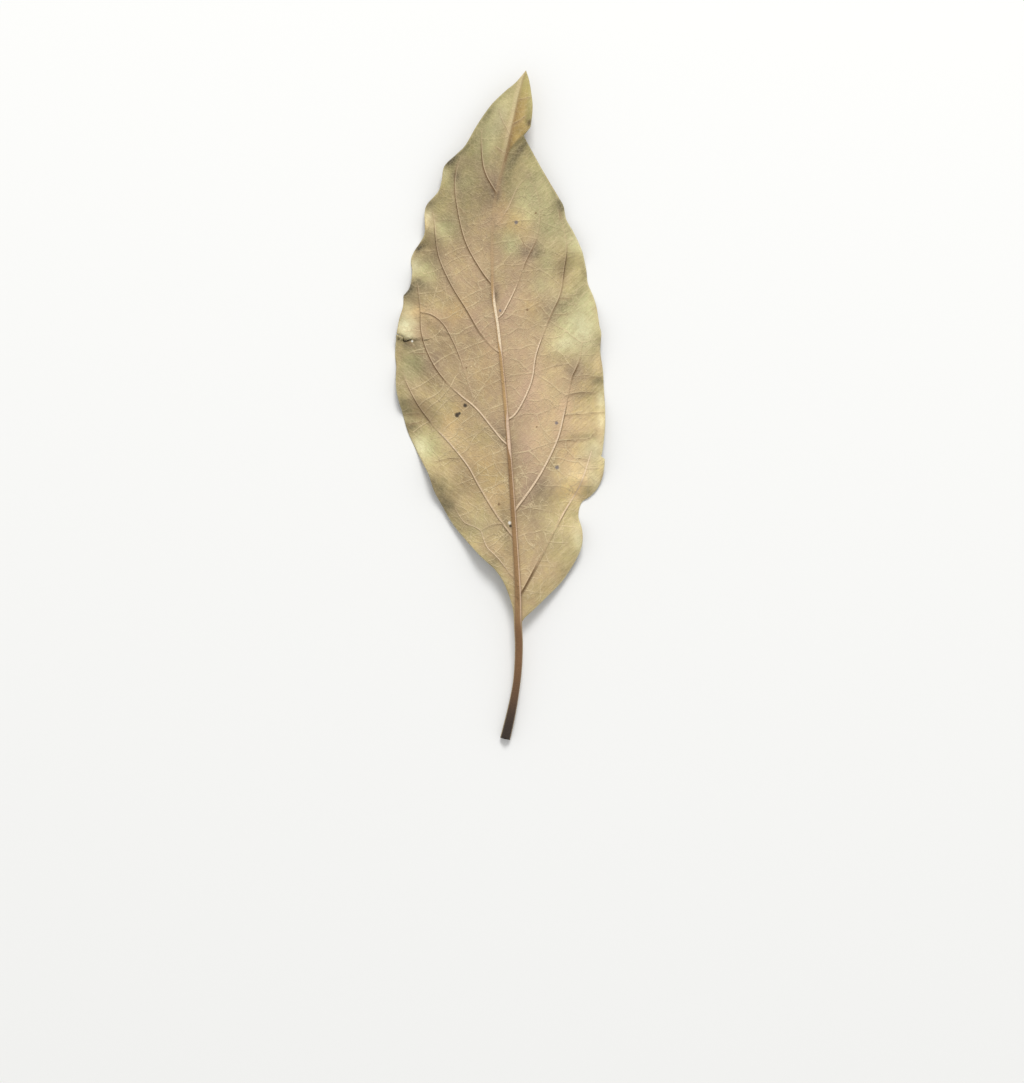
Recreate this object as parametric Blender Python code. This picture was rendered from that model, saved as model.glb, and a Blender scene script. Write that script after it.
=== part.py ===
"""A dried avocado leaf, lying with its veined underside up.

The leaf is one closed solid: a thin waved blade, its midrib, side veins and net raised
on the upper face, a pleat across the tip, and the stalk, which grows out of the midrib.
Shapes are worked out in millimetres, with x across the leaf, y from the blade's base to
its tip and z up, and are turned into metres when the mesh is made.
"""

import bpy
import numpy as np
from mathutils.geometry import delaunay_2d_cdt

MM = 0.001

# Driving sizes, in millimetres
BLADE_LENGTH = 124.2
STALK_LENGTH = 26.5
BLADE_THICK = 0.64
STALK_HALF = 0.92
TIP = (1.8, BLADE_LENGTH)
STALK_END = (-2.9, -STALK_LENGTH)

# How far the edge lies below the midrib where the blade is widest, and how that spreads
EDGE_DROP = 4.3
WIDEST_HALF = 23.0
DROP_POWER = 2.0
WIDTH_POWER = 1.3

# Midrib and stalk: (distance from the blade's base, half width, height above the blade)
RIB_PROFILE = ((-STALK_LENGTH, 1.15, 0.85), (-23.0, 1.10, 0.80), (-14.0, 0.86, 0.56),
               (-4.0, STALK_HALF, 0.62), (3.0, STALK_HALF, 0.66), (12.0, 0.82, 0.66),
               (34.0, 0.72, 0.58), (66.0, 0.58, 0.46), (86.0, 0.42, 0.30),
               (BLADE_LENGTH, 0.34, 0.20))
RIB_SHOULDER = 0.60
RIB_FADE = (2.0, 20.0)
RIB_FOOT_SPAN = (2.2, BLADE_LENGTH - 4.5)
RIB_SHOULDER_END = BLADE_LENGTH - 3.0

# Height of the midrib's line above the surface that the leaf lies on
SPINE = ((-STALK_LENGTH, 1.17), (-18.0, 1.9), (-8.0, 3.0), (0.0, 3.8), (24.0, 4.7), (52.0, 6.0),
         (78.0, 5.3), (104.0, 5.0), (BLADE_LENGTH, 4.5))

# Plan of the midrib, from the stalk's cut end to the tip
MIDRIB = (STALK_END, (-1.4, -20.0), (-0.2, -13.0), (0.2, -6.0), (0.0, 0.0), (-0.1, 8.3),
          (-0.9, 22.1), (-1.7, 34.0), (-2.5, 45.2), (-3.3, 55.8), (-4.3, 65.7), (-5.5, 73.6),
          (-5.8, 81.2), (-5.8, 86.2), (-5.3, 94.0), (-4.3, 99.0), (-3.3, 103.0), (-1.5, 110.9),
          (0.3, 119.0), TIP)
RIB_STEP = 1.9

# Plan of the blade's edge, from the tip down each side, in stretches between sharp corners
LEFT_EDGE = (
    (TIP, (-0.5, 121.5), (-2.9, 119.5), (-6.1, 116.4), (-9.0, 112.3), (-11.8, 107.5),
     (-13.8, 105.5), (-16.6, 102.8), (-17.2, 99.5), (-18.0, 97.0), (-20.5, 94.3), (-21.1, 92.2),
     (-21.0, 89.3), (-21.3, 87.1), (-23.6, 83.5), (-24.2, 81.5), (-23.9, 78.8), (-24.4, 75.6),
     (-25.9, 73.7)),
    ((-25.9, 73.7), (-26.0, 71.3), (-26.8, 68.4), (-27.4, 64.9)),
    ((-27.4, 64.9), (-26.0, 64.5)),
    ((-26.0, 64.5), (-25.6, 63.4)),
    ((-25.6, 63.4), (-23.9, 63.7)),
    ((-23.9, 63.7), (-25.8, 62.9)),
    ((-25.8, 62.9), (-26.5, 64.1), (-27.5, 64.3)),
    ((-27.5, 64.3), (-27.8, 60.5), (-27.5, 57.8), (-27.6, 54.2), (-27.2, 50.9), (-26.0, 46.8),
     (-25.0, 43.2), (-23.4, 39.6), (-21.6, 36.0), (-20.2, 33.3), (-19.0, 29.7), (-17.2, 26.3),
     (-14.4, 21.6), (-9.8, 16.2), (-7.3, 13.7), (-5.3, 11.9), (-3.4, 9.2), (-1.9, 5.6),
     (-1.1, 2.5), (-STALK_HALF, 0.0)),
)
RIGHT_EDGE = (
    (TIP, (2.5, 122.0), (3.0, 119.0), (3.3, 115.9), (2.9, 111.8), (2.4, 110.7),
     (1.3, 109.4)),
    ((1.3, 109.4), (3.1, 106.2), (5.1, 102.6), (7.1, 99.2), (9.1, 95.9), (10.3, 93.8),
     (10.9, 90.9), (12.4, 88.2), (14.0, 84.8), (14.8, 82.6), (15.5, 79.2), (15.8, 76.5),
     (17.0, 73.6), (17.8, 70.9), (18.4, 66.8), (18.8, 65.0), (18.6, 61.0), (19.2, 56.9),
     (19.4, 53.3), (19.7, 47.7), (19.6, 43.0), (19.0, 38.2), (18.7, 37.4)),
    ((18.7, 37.4), (19.6, 36.7)),
    ((19.6, 36.7), (19.5, 34.9), (19.0, 32.4), (17.8, 29.9), (16.0, 28.1), (14.6, 27.2),
     (13.9, 25.7), (13.7, 23.6), (14.4, 21.2), (14.6, 18.7), (14.2, 16.4), (13.1, 14.0),
     (11.9, 11.9), (9.7, 8.8), (6.5, 5.6), (3.4, 2.6), (1.6, 1.0), (STALK_HALF, 0.0)),
)

# Height of the waves along each edge: (place along the leaf, height)
LEFT_WAVES = ((0.0, 0.0), (12.0, 0.4), (22.0, -1.1), (33.0, 1.3), (42.8, -1.4), (51.5, 0.9),
              (60.6, -1.0), (65.6, 1.5), (72.6, -1.3), (77.6, 1.1), (83.3, -1.2), (88.4, 1.1),
              (93.2, -1.1), (98.4, 1.0), (104.8, -0.7), (110.0, 0.3), (BLADE_LENGTH, 0.0))
RIGHT_WAVES = ((0.0, 0.0), (9.0, -0.4), (17.3, 1.1), (26.3, -1.1), (37.6, 1.3), (53.3, -1.1),
               (64.0, 1.5), (77.0, -1.1), (83.0, 0.8), (91.6, -0.8), (97.5, 0.5), (105.0, -0.4),
               (112.0, 0.0), (BLADE_LENGTH, 0.0))
WAVE_REACH = (0.42, 1.05)
WAVE_SLANT = 0.95
WAVE_START = 12.0

# The pleat across the tip: its line, and how far the tip's right half stands above the blade
PLEAT = ((1.3, 109.4), (-0.2, 108.1), (-1.8, 106.2), (-2.9, 103.4))
PLEAT_STEP = 1.2
PLEAT_RISE = 1.7
PLEAT_HALF = 0.5
PLEAT_WIDTH = 3.4
PLEAT_GROWS = (102.5, 107.5)
PLEAT_FADES = (111.0, 123.0)
PLEAT_LEFT_AT_TIP = 0.3

# The torn flap of the left edge: where it stands up, from the blade outwards and upwards
TEAR_RISE = 0.9
TEAR_GROWS = (-21.6, -25.2)
TEAR_LINE = (63.5, 64.0)
TEAR_FADES = (65.0, 71.0)

# Small low places of the edge that carry the leaf: (x, y)
REST_SPOTS = ((-22.2, 83.0), (-23.1, 44.0), (13.6, 77.4), (12.2, 26.0))
REST_RADIUS = 2.1
REST_RING = 1.7
REST_BLEND = 7.0

# Side veins, each from where it starts to where it ends, with its half width and height
LEFT_VEINS = (
    ((-1.3, 19.4), (-4.9, 24.3), (-8.8, 30.4), (-11.4, 35.1), (-15.4, 40.3), (-19.4, 44.6),
     (-22.6, 48.8), (-25.2, 53.8), (-26.0, 56.1)),
    ((-2.3, 39.4), (-5.7, 43.6), (-9.4, 48.1), (-13.0, 51.1), (-17.4, 55.4), (-20.4, 60.5),
     (-21.9, 65.5), (-22.1, 70.4), (-22.7, 76.0)),
    ((-4.3, 60.5), (-8.1, 65.0), (-11.4, 70.2), (-15.2, 76.0), (-18.3, 82.8), (-19.1, 90.5),
     (-19.3, 92.5)),
    ((-5.6, 75.2), (-9.2, 79.9), (-12.2, 85.7), (-13.8, 92.9), (-14.5, 99.0), (-13.2, 103.7),
     (-12.2, 105.8)),
    ((-4.9, 96.3), (-7.5, 101.5), (-8.2, 107.1), (-8.1, 110.9)),
    ((-22.1, 70.4), (-17.4, 67.7), (-14.4, 63.0), (-12.4, 57.4), (-10.6, 50.5)),
    ((-0.4, 9.0), (-2.6, 12.0), (-4.7, 14.6), (-6.8, 17.4), (-8.6, 20.8), (-11.8, 22.6),
     (-14.2, 25.6)),
    ((-1.8, 109.8), (-3.4, 112.5), (-4.3, 115.0)),
    ((-3.4, 22.4), (-5.8, 21.7), (-8.6, 20.8)),
)
RIGHT_VEINS = (
    ((-0.7, 25.2), (2.7, 29.5), (5.9, 34.4), (8.9, 41.0), (10.3, 46.7), (12.2, 54.2),
     (13.7, 58.5), (14.8, 65.0)),
    ((-1.9, 45.2), (0.9, 48.8), (3.2, 54.5), (4.1, 60.5), (7.1, 68.4), (9.5, 73.6),
     (10.4, 79.0), (11.0, 84.6), (9.5, 91.4)),
    ((-4.3, 67.8), (-1.1, 74.0), (1.7, 80.9), (4.1, 86.2), (5.1, 91.4), (4.6, 96.6),
     (2.2, 100.2)),
    ((-5.3, 88.4), (-2.1, 92.9), (-0.1, 97.8), (2.2, 100.2)),
    ((-0.1, 5.0), (2.7, 9.9), (7.5, 19.1), (10.7, 24.8), (14.0, 30.8), (16.6, 38.5)),
)
VEIN_HALF = (0.44, 0.32)
VEIN_RISE = (0.42, 0.24)
VEIN_STEP = 2.1

# The raised net between the side veins
NET_HALF = 0.34
NET_RISE = 0.22
NET_STEP = 2.4
NET_SPACING = 5.0
RIB_NET_LEAN = (-0.4, 0.2)
VEIN_NET_LEAN = (0.1, 0.45)
NET_WIDEST_GAP = 17.0
NET_NARROWEST_GAP = 2.6
NET_TO_EDGE = 4.6
NET_WANDER = 0.5
NET_SEED = 12

# Hollows between the veins, and slow crumples as (height, length, direction, phase)
QUILT_RISE = 0.42
QUILT_REACH = 2.6
CRUMPLES = ((0.30, 23.0, 0.9, 0.4), (0.24, 15.0, -0.5, 2.1), (0.16, 10.0, 1.9, 4.0))
BLADE_HALVES = (1.5, 9.0)

# Spacing of the mesh's points
EDGE_STEP = 1.6
FILL_STEP = 2.75
CLEAR_OF_EDGE = 1.05
CLEAR_OF_VEIN = 1.1
CLEAR_OF_NET = 1.35
CLEAR_OF_FILL = 1.15
SHORTEST_STRETCH = 1.4
MARCH = 0.4
CDT_EPSILON = 1e-4
STEEPEST = 0.5


def smooth_curve(points, step):
    """Points about step apart on a smooth curve through the given ones."""
    knots = np.asarray(points, float)
    padded = np.vstack((2 * knots[0] - knots[1], knots, 2 * knots[-1] - knots[-2]))
    dense = []
    for a, b, c, d in zip(padded, padded[1:], padded[2:], padded[3:]):
        for t in np.linspace(0, 1, 12, endpoint=False):
            dense.append(0.5 * (2 * b + (c - a) * t + (2 * a - 5 * b + 4 * c - d) * t ** 2
                                + (3 * b - a - 3 * c + d) * t ** 3))
    dense = np.vstack((dense, knots[-1]))
    along = np.concatenate(([0], np.cumsum(np.linalg.norm(np.diff(dense, axis=0), axis=1))))
    places = np.linspace(0, along[-1], max(2, int(round(along[-1] / step)) + 1))
    return np.column_stack([np.interp(places, along, dense[:, i]) for i in range(2)])


def eased(value, low, high):
    """0 below low, 1 above high, with a smooth rise between them."""
    t = np.clip((value - low) / (high - low), 0, 1)
    return t * t * (3 - 2 * t)


def through(table, place, column=1):
    """A smooth curve through the (place, value, ...) rows of a table."""
    rows = np.asarray(table, float)
    i = np.clip(np.searchsorted(rows[:, 0], place) - 1, 0, len(rows) - 2)
    share = eased(place, rows[i, 0], rows[i + 1, 0])
    return rows[i, column] * (1 - share) + rows[i + 1, column] * share


def straight_through(table, place, column=1):
    """Straight lines through the (place, value, ...) rows of a table."""
    rows = np.asarray(table, float)
    return np.interp(place, rows[:, 0], rows[:, column])


def distance_to(places, line):
    """How far each place lies from an open line, and how far along the line, from 0 to 1."""
    starts, ends = line[:-1], line[1:]
    spans = ends - starts
    lengths = np.maximum((spans ** 2).sum(1), 1e-12)
    gaps = places[:, None, :] - starts[None]
    t = np.clip((gaps * spans[None]).sum(2) / lengths, 0, 1)
    away = np.linalg.norm(gaps - t[..., None] * spans[None], axis=2)
    nearest = away.argmin(1)
    rows = np.arange(len(places))
    share = (nearest + t[rows, nearest]) / len(starts)
    return away[rows, nearest], share


def nearest_of(places, spot):
    """The one of the places that lies nearest to a spot."""
    return places[np.linalg.norm(places - spot, axis=1).argmin()]


def inside(places, loop):
    """True for each place inside a closed loop of points."""
    x, y = places[:, 0, None], places[:, 1, None]
    ax, ay = loop[:, 0], loop[:, 1]
    bx, by = np.roll(ax, -1), np.roll(ay, -1)
    crosses = (ay > y) != (by > y)
    rise = np.where(by == ay, 1e-12, by - ay)
    hits = crosses & (x < (bx - ax) * (y - ay) / rise + ax)
    return hits.sum(1) % 2 == 1


def edge_line(stretches, step):
    """One side of the blade's edge, from the tip down to the stalk."""
    parts = [smooth_curve(points, step) for points in stretches]
    return np.vstack([part[:-1] for part in parts] + [parts[-1][-1:]])


class Leaf:
    """The leaf's plan and the height of its surfaces at any place of the plan."""

    def __init__(self):
        self.midrib = smooth_curve(MIDRIB, RIB_STEP)
        self.left = edge_line(LEFT_EDGE, EDGE_STEP)
        self.right = edge_line(RIGHT_EDGE, EDGE_STEP)
        self.outline = self.closed_outline()
        self.pleat = smooth_curve(PLEAT, PLEAT_STEP)
        self.veins = self.side_veins()
        self.net = self.net_veins()

    def stalk_sides(self):
        """The stalk's two edges, from the blade down to the cut end."""
        stalk = self.midrib[self.midrib[:, 1] < -0.5][::-1]
        along = np.gradient(stalk, axis=0)
        across = np.column_stack((along[:, 1], -along[:, 0]))
        across /= np.linalg.norm(across, axis=1)[:, None]
        half = straight_through(RIB_PROFILE, stalk[:, 1])[:, None]
        return stalk + across * half, stalk - across * half

    def closed_outline(self):
        """The whole plan outline as a loop: down the left side, round the stalk's end and up."""
        one, other = self.stalk_sides()
        left, right = (one, other) if one[0, 0] < other[0, 0] else (other, one)
        return np.vstack((self.left, left, right[::-1], self.right[:0:-1]))

    def joined(self, lines, roots, clear, step):
        """Veins that start on an earlier one and end short of the edge or on the next one met."""
        rim = np.vstack((self.outline, self.outline[:1]))
        kept = list(roots)
        for line in lines:
            gap = np.min([distance_to(line, other)[0] for other in kept], axis=0)
            ended = np.flatnonzero(distance_to(line, rim)[0] < CLEAR_OF_EDGE)
            left = np.flatnonzero(gap > clear)
            if not len(left):
                continue
            met = np.flatnonzero((gap < clear) & (np.arange(len(line)) > left[0]))
            stop = min([len(line)] + ended[:1].tolist() + met[:1].tolist())
            ends_on_other = len(met) > 0 and met[0] == stop
            if stop - left[0] < SHORTEST_STRETCH / MARCH:
                continue
            taken = np.vstack(kept)
            path = [nearest_of(taken, line[0])] + list(line[left[0]:stop])
            if ends_on_other:
                path.append(nearest_of(taken, line[stop]))
            kept.append(smooth_curve(path, step))
        return kept[len(roots):]

    def side_veins(self):
        lines = [smooth_curve(points, MARCH) for points in LEFT_VEINS + RIGHT_VEINS]
        trunk = self.midrib[self.midrib[:, 1] > 1]
        return self.joined(lines, [trunk], CLEAR_OF_VEIN, VEIN_STEP)

    def net_veins(self):
        """Short wandering veins that run across from the midrib and from each side vein."""
        rng = np.random.default_rng(NET_SEED)
        trunks = [self.midrib[self.midrib[:, 1] > 4]] + self.veins
        lines = []
        for i, trunk in enumerate(trunks):
            others = [other for j, other in enumerate(trunks) if j != i]
            span = np.linalg.norm(np.diff(trunk, axis=0), axis=1).sum()
            count = max(1, int(span / NET_SPACING))
            for k in range(2 * count):
                share = (k // 2 + rng.uniform(0.25, 0.85)) / count
                at = min(len(trunk) - 2, max(1, int(share * (len(trunk) - 1))))
                heading = trunk[at + 1] - trunk[at - 1]
                heading *= np.sign(heading[1]) / np.linalg.norm(heading)
                right_half = trunk[at, 0] > np.interp(trunk[at, 1], *self.midrib.T[::-1])
                side = 1 if k % 2 else -1
                lean = RIB_NET_LEAN[k % 2] if i == 0 else VEIN_NET_LEAN[int(right_half)]
                way = side * np.array((heading[1], -heading[0])) + lean * heading
                line = self.net_line(trunk[at], way / np.linalg.norm(way), others, rng)
                if line is not None:
                    lines.append(line)
        return self.joined(lines, trunks, CLEAR_OF_NET, NET_STEP)

    def net_line(self, start, way, others, rng):
        """A vein of the net from start along way, to the first other vein or nearly to the edge."""
        reach = np.arange(0.0, NET_WIDEST_GAP, MARCH)
        ray = start + reach[:, None] * way
        gaps = np.min([distance_to(ray, other)[0] for other in others], axis=0)
        rim = distance_to(ray, np.vstack((self.outline, self.outline[:1])))[0]
        met = np.flatnonzero((gaps < 0.6) & (reach > 2.5))
        edged = np.flatnonzero((rim < 1.3) & (reach > 1.0))
        far = met[0] if len(met) else len(reach)
        if len(edged) and edged[0] < far:
            far = min(edged[0], int(NET_TO_EDGE / MARCH))
        if far == len(reach) or reach[far] < NET_NARROWEST_GAP:
            return None
        knots = int(reach[far] / 3.0) + 3
        line = start + np.linspace(0, 1, knots)[:, None] * (ray[far] - start)
        across = np.array((way[1], -way[0]))
        line[1:-1] += across * rng.uniform(-NET_WANDER, NET_WANDER, (knots - 2, 1))
        return smooth_curve(line, MARCH)

    def across(self, places):
        """Each place's gap from the midrib's line in plan, its side (-1 or 1) and the half width."""
        x, y = places[:, 0], places[:, 1]
        centre = np.interp(y, self.midrib[:, 1], self.midrib[:, 0])
        side = np.where(x < centre, -1.0, 1.0)
        left = np.interp(y, self.left[::-1, 1], self.left[::-1, 0])
        right = np.interp(y, self.right[::-1, 1], self.right[::-1, 0])
        half = np.where(side < 0, centre - left, right - centre)
        return np.abs(x - centre), side, np.maximum(half, STALK_HALF)

    def middle(self, places):
        """Height of the blade's middle surface, before ribs and veins are raised on it."""
        y = places[:, 1]
        gap, side, half = self.across(places)
        share = np.clip(gap / half, 0, WAVE_REACH[1])
        height = through(SPINE, y)
        height -= EDGE_DROP * share ** DROP_POWER * (half / WIDEST_HALF) ** WIDTH_POWER
        at_edge = y + WAVE_SLANT * (half - gap)
        wave = np.where(side < 0, through(LEFT_WAVES, at_edge), through(RIGHT_WAVES, at_edge))
        height += wave * eased(share, *WAVE_REACH) * eased(y, 0, WAVE_START)
        in_blade = eased(half, *BLADE_HALVES)
        trunk_gap = np.min([distance_to(places, vein)[0] for vein in self.veins], axis=0)
        trunk_gap = np.minimum(trunk_gap, gap)
        height += in_blade * QUILT_RISE * (np.exp(-(trunk_gap / QUILT_REACH) ** 2) - 0.5)
        for rise, length, turn, phase in CRUMPLES:
            along = places[:, 0] * np.cos(turn) + y * np.sin(turn)
            height += in_blade * rise * np.sin(2 * np.pi * along / length + phase)
        height += self.pleat_rise(places, gap, side) + self.tear_rise(places)
        for spot in REST_SPOTS:
            away = np.linalg.norm(places - np.array(spot), axis=1)
            pull = 1 - eased(away, REST_RADIUS, REST_BLEND)
            height = height * (1 - pull) + pull * BLADE_THICK / 2
        return height

    def beyond_pleat(self, places):
        """How far each place lies beyond the pleat's line, towards the tip."""
        line = self.pleat[::-1]
        above = places[:, 1] > np.interp(places[:, 0], line[:, 0], line[:, 1])
        return distance_to(places, line)[0] * np.where(above, 1, -1)

    def pleat_rise(self, places, gap, side):
        """How far the tip's right half stands up beyond the pleat's line."""
        step = eased(self.beyond_pleat(places), -PLEAT_HALF, PLEAT_HALF)
        lost = eased(places[:, 1], *PLEAT_FADES) * (1 - PLEAT_LEFT_AT_TIP)
        size = PLEAT_RISE * eased(places[:, 1], *PLEAT_GROWS) * (1 - lost)
        return np.where(side > 0, size * step * np.clip(gap / PLEAT_WIDTH, 0, 1.1), 0.0)

    def tear_rise(self, places):
        """How far the torn flap stands above the blade next to it."""
        size = TEAR_RISE * (1 - eased(places[:, 0], TEAR_GROWS[1], TEAR_GROWS[0]))
        return size * eased(places[:, 1], *TEAR_LINE) * (1 - eased(places[:, 1], *TEAR_FADES))

    def vein_rise(self, places, lines, halves, rises):
        """Height of the veins of one kind above the blade: a ridge that tapers along each."""
        height = np.zeros(len(places))
        for line in lines:
            gap, share = distance_to(places, line)
            half = halves[0] + (halves[1] - halves[0]) * share
            rise = rises[0] + (rises[1] - rises[0]) * share
            height = np.maximum(height, rise * np.clip(1 - gap / half, 0, 1))
        return height

    def rib_rise(self, places, fade=None):
        """Height of the rounded midrib, and of the stalk, above the blade."""
        gap = distance_to(places, self.midrib)[0]
        half = straight_through(RIB_PROFILE, places[:, 1], 1)
        rise = straight_through(RIB_PROFILE, places[:, 1], 2)
        if fade:
            rise = rise * (1 - eased(places[:, 1], *fade))
        return rise * np.sqrt(np.clip(1 - (gap / half) ** 2, 0, 1))

    def top_relief(self, places):
        ribs = self.rib_rise(places)
        veins = self.vein_rise(places, self.veins, VEIN_HALF, VEIN_RISE)
        net = self.vein_rise(places, self.net, (NET_HALF, NET_HALF), (NET_RISE, NET_RISE))
        return np.maximum(ribs, np.maximum(veins, net))

    def guide_lines(self):
        """Crest and foot lines of the midrib, side veins and net, for the mesh to follow."""
        rib = self.midrib[1:-1]
        half = straight_through(RIB_PROFILE, rib[:, 1])
        shoulder = rib[:, 1] < RIB_SHOULDER_END
        foot = (rib[:, 1] > RIB_FOOT_SPAN[0]) & (rib[:, 1] < RIB_FOOT_SPAN[1])
        lines = [self.midrib[:-1]]
        for side in (-1, 1):
            lines.append(offset(self.pleat, np.full(len(self.pleat), side * PLEAT_HALF))[1:-1])
            lines.append(offset(rib, side * RIB_SHOULDER * half)[shoulder])
            lines.append(offset(rib, side * half)[foot])
        for vein in self.veins:
            lines += vein_lines(vein, np.linspace(*VEIN_HALF, len(vein)))
        for vein in self.net:
            lines += vein_lines(vein, np.full(len(vein), NET_HALF))
        return lines


def offset(line, gap):
    """A line moved sideways by gap, a number for each of its points."""
    along = np.gradient(line, axis=0)
    across = np.column_stack((along[:, 1], -along[:, 0]))
    across /= np.linalg.norm(across, axis=1)[:, None]
    return line + across * np.asarray(gap)[:, None]


def vein_lines(vein, half):
    """A vein's crest and its two foot lines."""
    return [vein, offset(vein, half)[1:-1], offset(vein, -half)[1:-1]]


def rest_points():
    """The points of each flat spot: its middle and a ring round it."""
    points = []
    for x, y in REST_SPOTS:
        points.append((x, y))
        for turn in np.linspace(0, 2 * np.pi, 6, endpoint=False):
            points.append((x + REST_RING * np.cos(turn), y + REST_RING * np.sin(turn)))
    return np.array(points)


def fill_points(leaf, placed):
    """A staggered grid of points in the blade, clear of its edge and of what is placed."""
    low, high = leaf.outline.min(0), leaf.outline.max(0)
    points = []
    for row, y in enumerate(np.arange(low[1], high[1], FILL_STEP * 0.866)):
        for x in np.arange(low[0] + (row % 2) * FILL_STEP / 2, high[0], FILL_STEP):
            points.append((x, y))
    points = np.array(points)
    rim = np.vstack((leaf.outline, leaf.outline[:1]))
    points = points[inside(points, leaf.outline)]
    points = points[distance_to(points, rim)[0] > CLEAR_OF_EDGE]
    gaps = np.linalg.norm(points[:, None] - placed[None], axis=2).min(1)
    return points[gaps > CLEAR_OF_FILL]


def plan_mesh(leaf):
    """The plan split into triangles along the outline, the ribs and the veins."""
    points, edges = [], []
    index = {}

    def point(place):
        key = (round(float(place[0]), 4), round(float(place[1]), 4))
        if key not in index:
            index[key] = len(points)
            points.append(key)
        return index[key]

    rim = np.vstack((leaf.outline, leaf.outline[:1]))
    for line in [rim] + leaf.guide_lines():
        chain = [point(place) for place in line]
        edges += [(a, b) for a, b in zip(chain, chain[1:]) if a != b]
    guides = np.array(points)
    spots = rest_points()
    gaps = np.linalg.norm(spots[:, None] - guides[None], axis=2).min(1)
    for place in spots[gaps > 0.5]:
        point(place)
    for place in fill_points(leaf, np.array(points)):
        point(place)
    result = delaunay_2d_cdt(points, edges, [], 0, CDT_EPSILON, False)
    plan = np.array([tuple(place) for place in result[0]])
    faces = np.array([tuple(face) for face in result[2]])
    faces = faces[inside(plan[faces].mean(1), leaf.outline)]
    used, renumbered = np.unique(faces, return_inverse=True)
    return plan[used], renumbered.reshape(-1, 3)


def slope_factor(plan, faces, height):
    """1 over the upward part of the surface's normal at each point, for an even thickness."""
    places = np.column_stack((plan, height))
    corners = places[faces]
    normals = np.cross(corners[:, 1] - corners[:, 0], corners[:, 2] - corners[:, 0])
    total = np.zeros_like(places)
    for corner in range(3):
        np.add.at(total, faces[:, corner], normals)
    upward = np.abs(total[:, 2]) / np.maximum(np.linalg.norm(total, axis=1), 1e-12)
    return 1 / np.clip(upward, STEEPEST, 1)


def leaf_mesh(leaf):
    """Vertices in millimetres and triangles of the whole leaf."""
    plan, faces = plan_mesh(leaf)
    middle = leaf.middle(plan)
    half = BLADE_THICK / 2 * slope_factor(plan, faces, middle)
    under = np.maximum(middle - half, 0)
    top = under + 2 * half + leaf.top_relief(plan)
    under = np.maximum(under - leaf.rib_rise(plan, RIB_FADE), 0)
    count = len(plan)
    triangles = faces.tolist() + (faces[:, ::-1] + count).tolist()
    edges = {(a, b) for face in faces.tolist() for a, b in zip(face, face[1:] + face[:1])}
    for a, b in sorted(edges):
        if (b, a) not in edges:
            triangles += [(b, a, a + count), (b, a + count, b + count)]
    vertices = np.vstack((np.column_stack((plan, top)), np.column_stack((plan, under))))
    return vertices, triangles


def centred(vertices):
    """The vertices moved so that the middle of the footprint is at the origin."""
    low, high = vertices.min(0), vertices.max(0)
    return vertices - np.array(((low[0] + high[0]) / 2, (low[1] + high[1]) / 2, low[2]))


def leaf_material():
    material = bpy.data.materials.new("dry_leaf")
    material.use_nodes = True
    shader = material.node_tree.nodes["Principled BSDF"]
    shader.inputs["Base Color"].default_value = (0.42, 0.35, 0.17, 1)
    shader.inputs["Roughness"].default_value = 0.8
    shader.inputs["Metallic"].default_value = 0.0
    return material


def main():
    for item in list(bpy.data.objects):
        bpy.data.objects.remove(item, do_unlink=True)
    vertices, triangles = leaf_mesh(Leaf())
    mesh = bpy.data.meshes.new("avocado_leaf")
    mesh.from_pydata([tuple(v) for v in centred(vertices) * MM], [], triangles)
    mesh.materials.append(leaf_material())
    mesh.update()
    mesh.shade_smooth()
    leaf = bpy.data.objects.new("avocado_leaf", mesh)
    bpy.context.scene.collection.objects.link(leaf)


main()
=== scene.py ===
"""The looks of a dried avocado leaf that lies on a pale surface with its veined underside up.

The leaf's shape is worked out in millimetres by the same rules as its solid, but with a
thinner blade, true vein widths and a fine mesh. Its colours come from node materials,
guided by values that the shape code stores at the mesh's points. Some of these colours are
painted light and shade: lit slopes, shade in hollows and folds, and shadows beside the
veins, the midrib and the torn flap.
"""

import math

import bpy
import numpy as np
from mathutils.geometry import delaunay_2d_cdt
from mathutils.kdtree import KDTree
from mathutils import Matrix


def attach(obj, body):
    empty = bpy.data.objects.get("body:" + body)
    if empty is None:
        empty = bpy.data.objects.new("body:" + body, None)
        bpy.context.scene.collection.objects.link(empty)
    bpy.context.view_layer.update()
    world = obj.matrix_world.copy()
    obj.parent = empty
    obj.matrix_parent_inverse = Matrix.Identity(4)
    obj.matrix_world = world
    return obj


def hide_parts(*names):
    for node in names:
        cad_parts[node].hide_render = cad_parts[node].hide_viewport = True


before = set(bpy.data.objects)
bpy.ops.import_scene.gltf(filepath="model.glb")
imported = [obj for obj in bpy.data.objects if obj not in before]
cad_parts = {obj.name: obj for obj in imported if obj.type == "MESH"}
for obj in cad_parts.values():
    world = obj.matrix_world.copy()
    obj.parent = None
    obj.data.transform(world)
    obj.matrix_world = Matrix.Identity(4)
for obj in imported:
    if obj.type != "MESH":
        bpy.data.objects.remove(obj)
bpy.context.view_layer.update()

MM = 0.001
TINY = 1e-12

# Driving sizes, in millimetres
BLADE_LENGTH = 124.2
STALK_LENGTH = 26.5
BLADE_THICK = 0.64
STALK_HALF = 0.92
TIP = (1.8, BLADE_LENGTH)
STALK_END = (-2.9, -STALK_LENGTH)

# How far the edge lies below the midrib where the blade is widest, and how that spreads
EDGE_DROP = 4.3
WIDEST_HALF = 23.0
DROP_POWER = 2.0
WIDTH_POWER = 1.3

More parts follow.
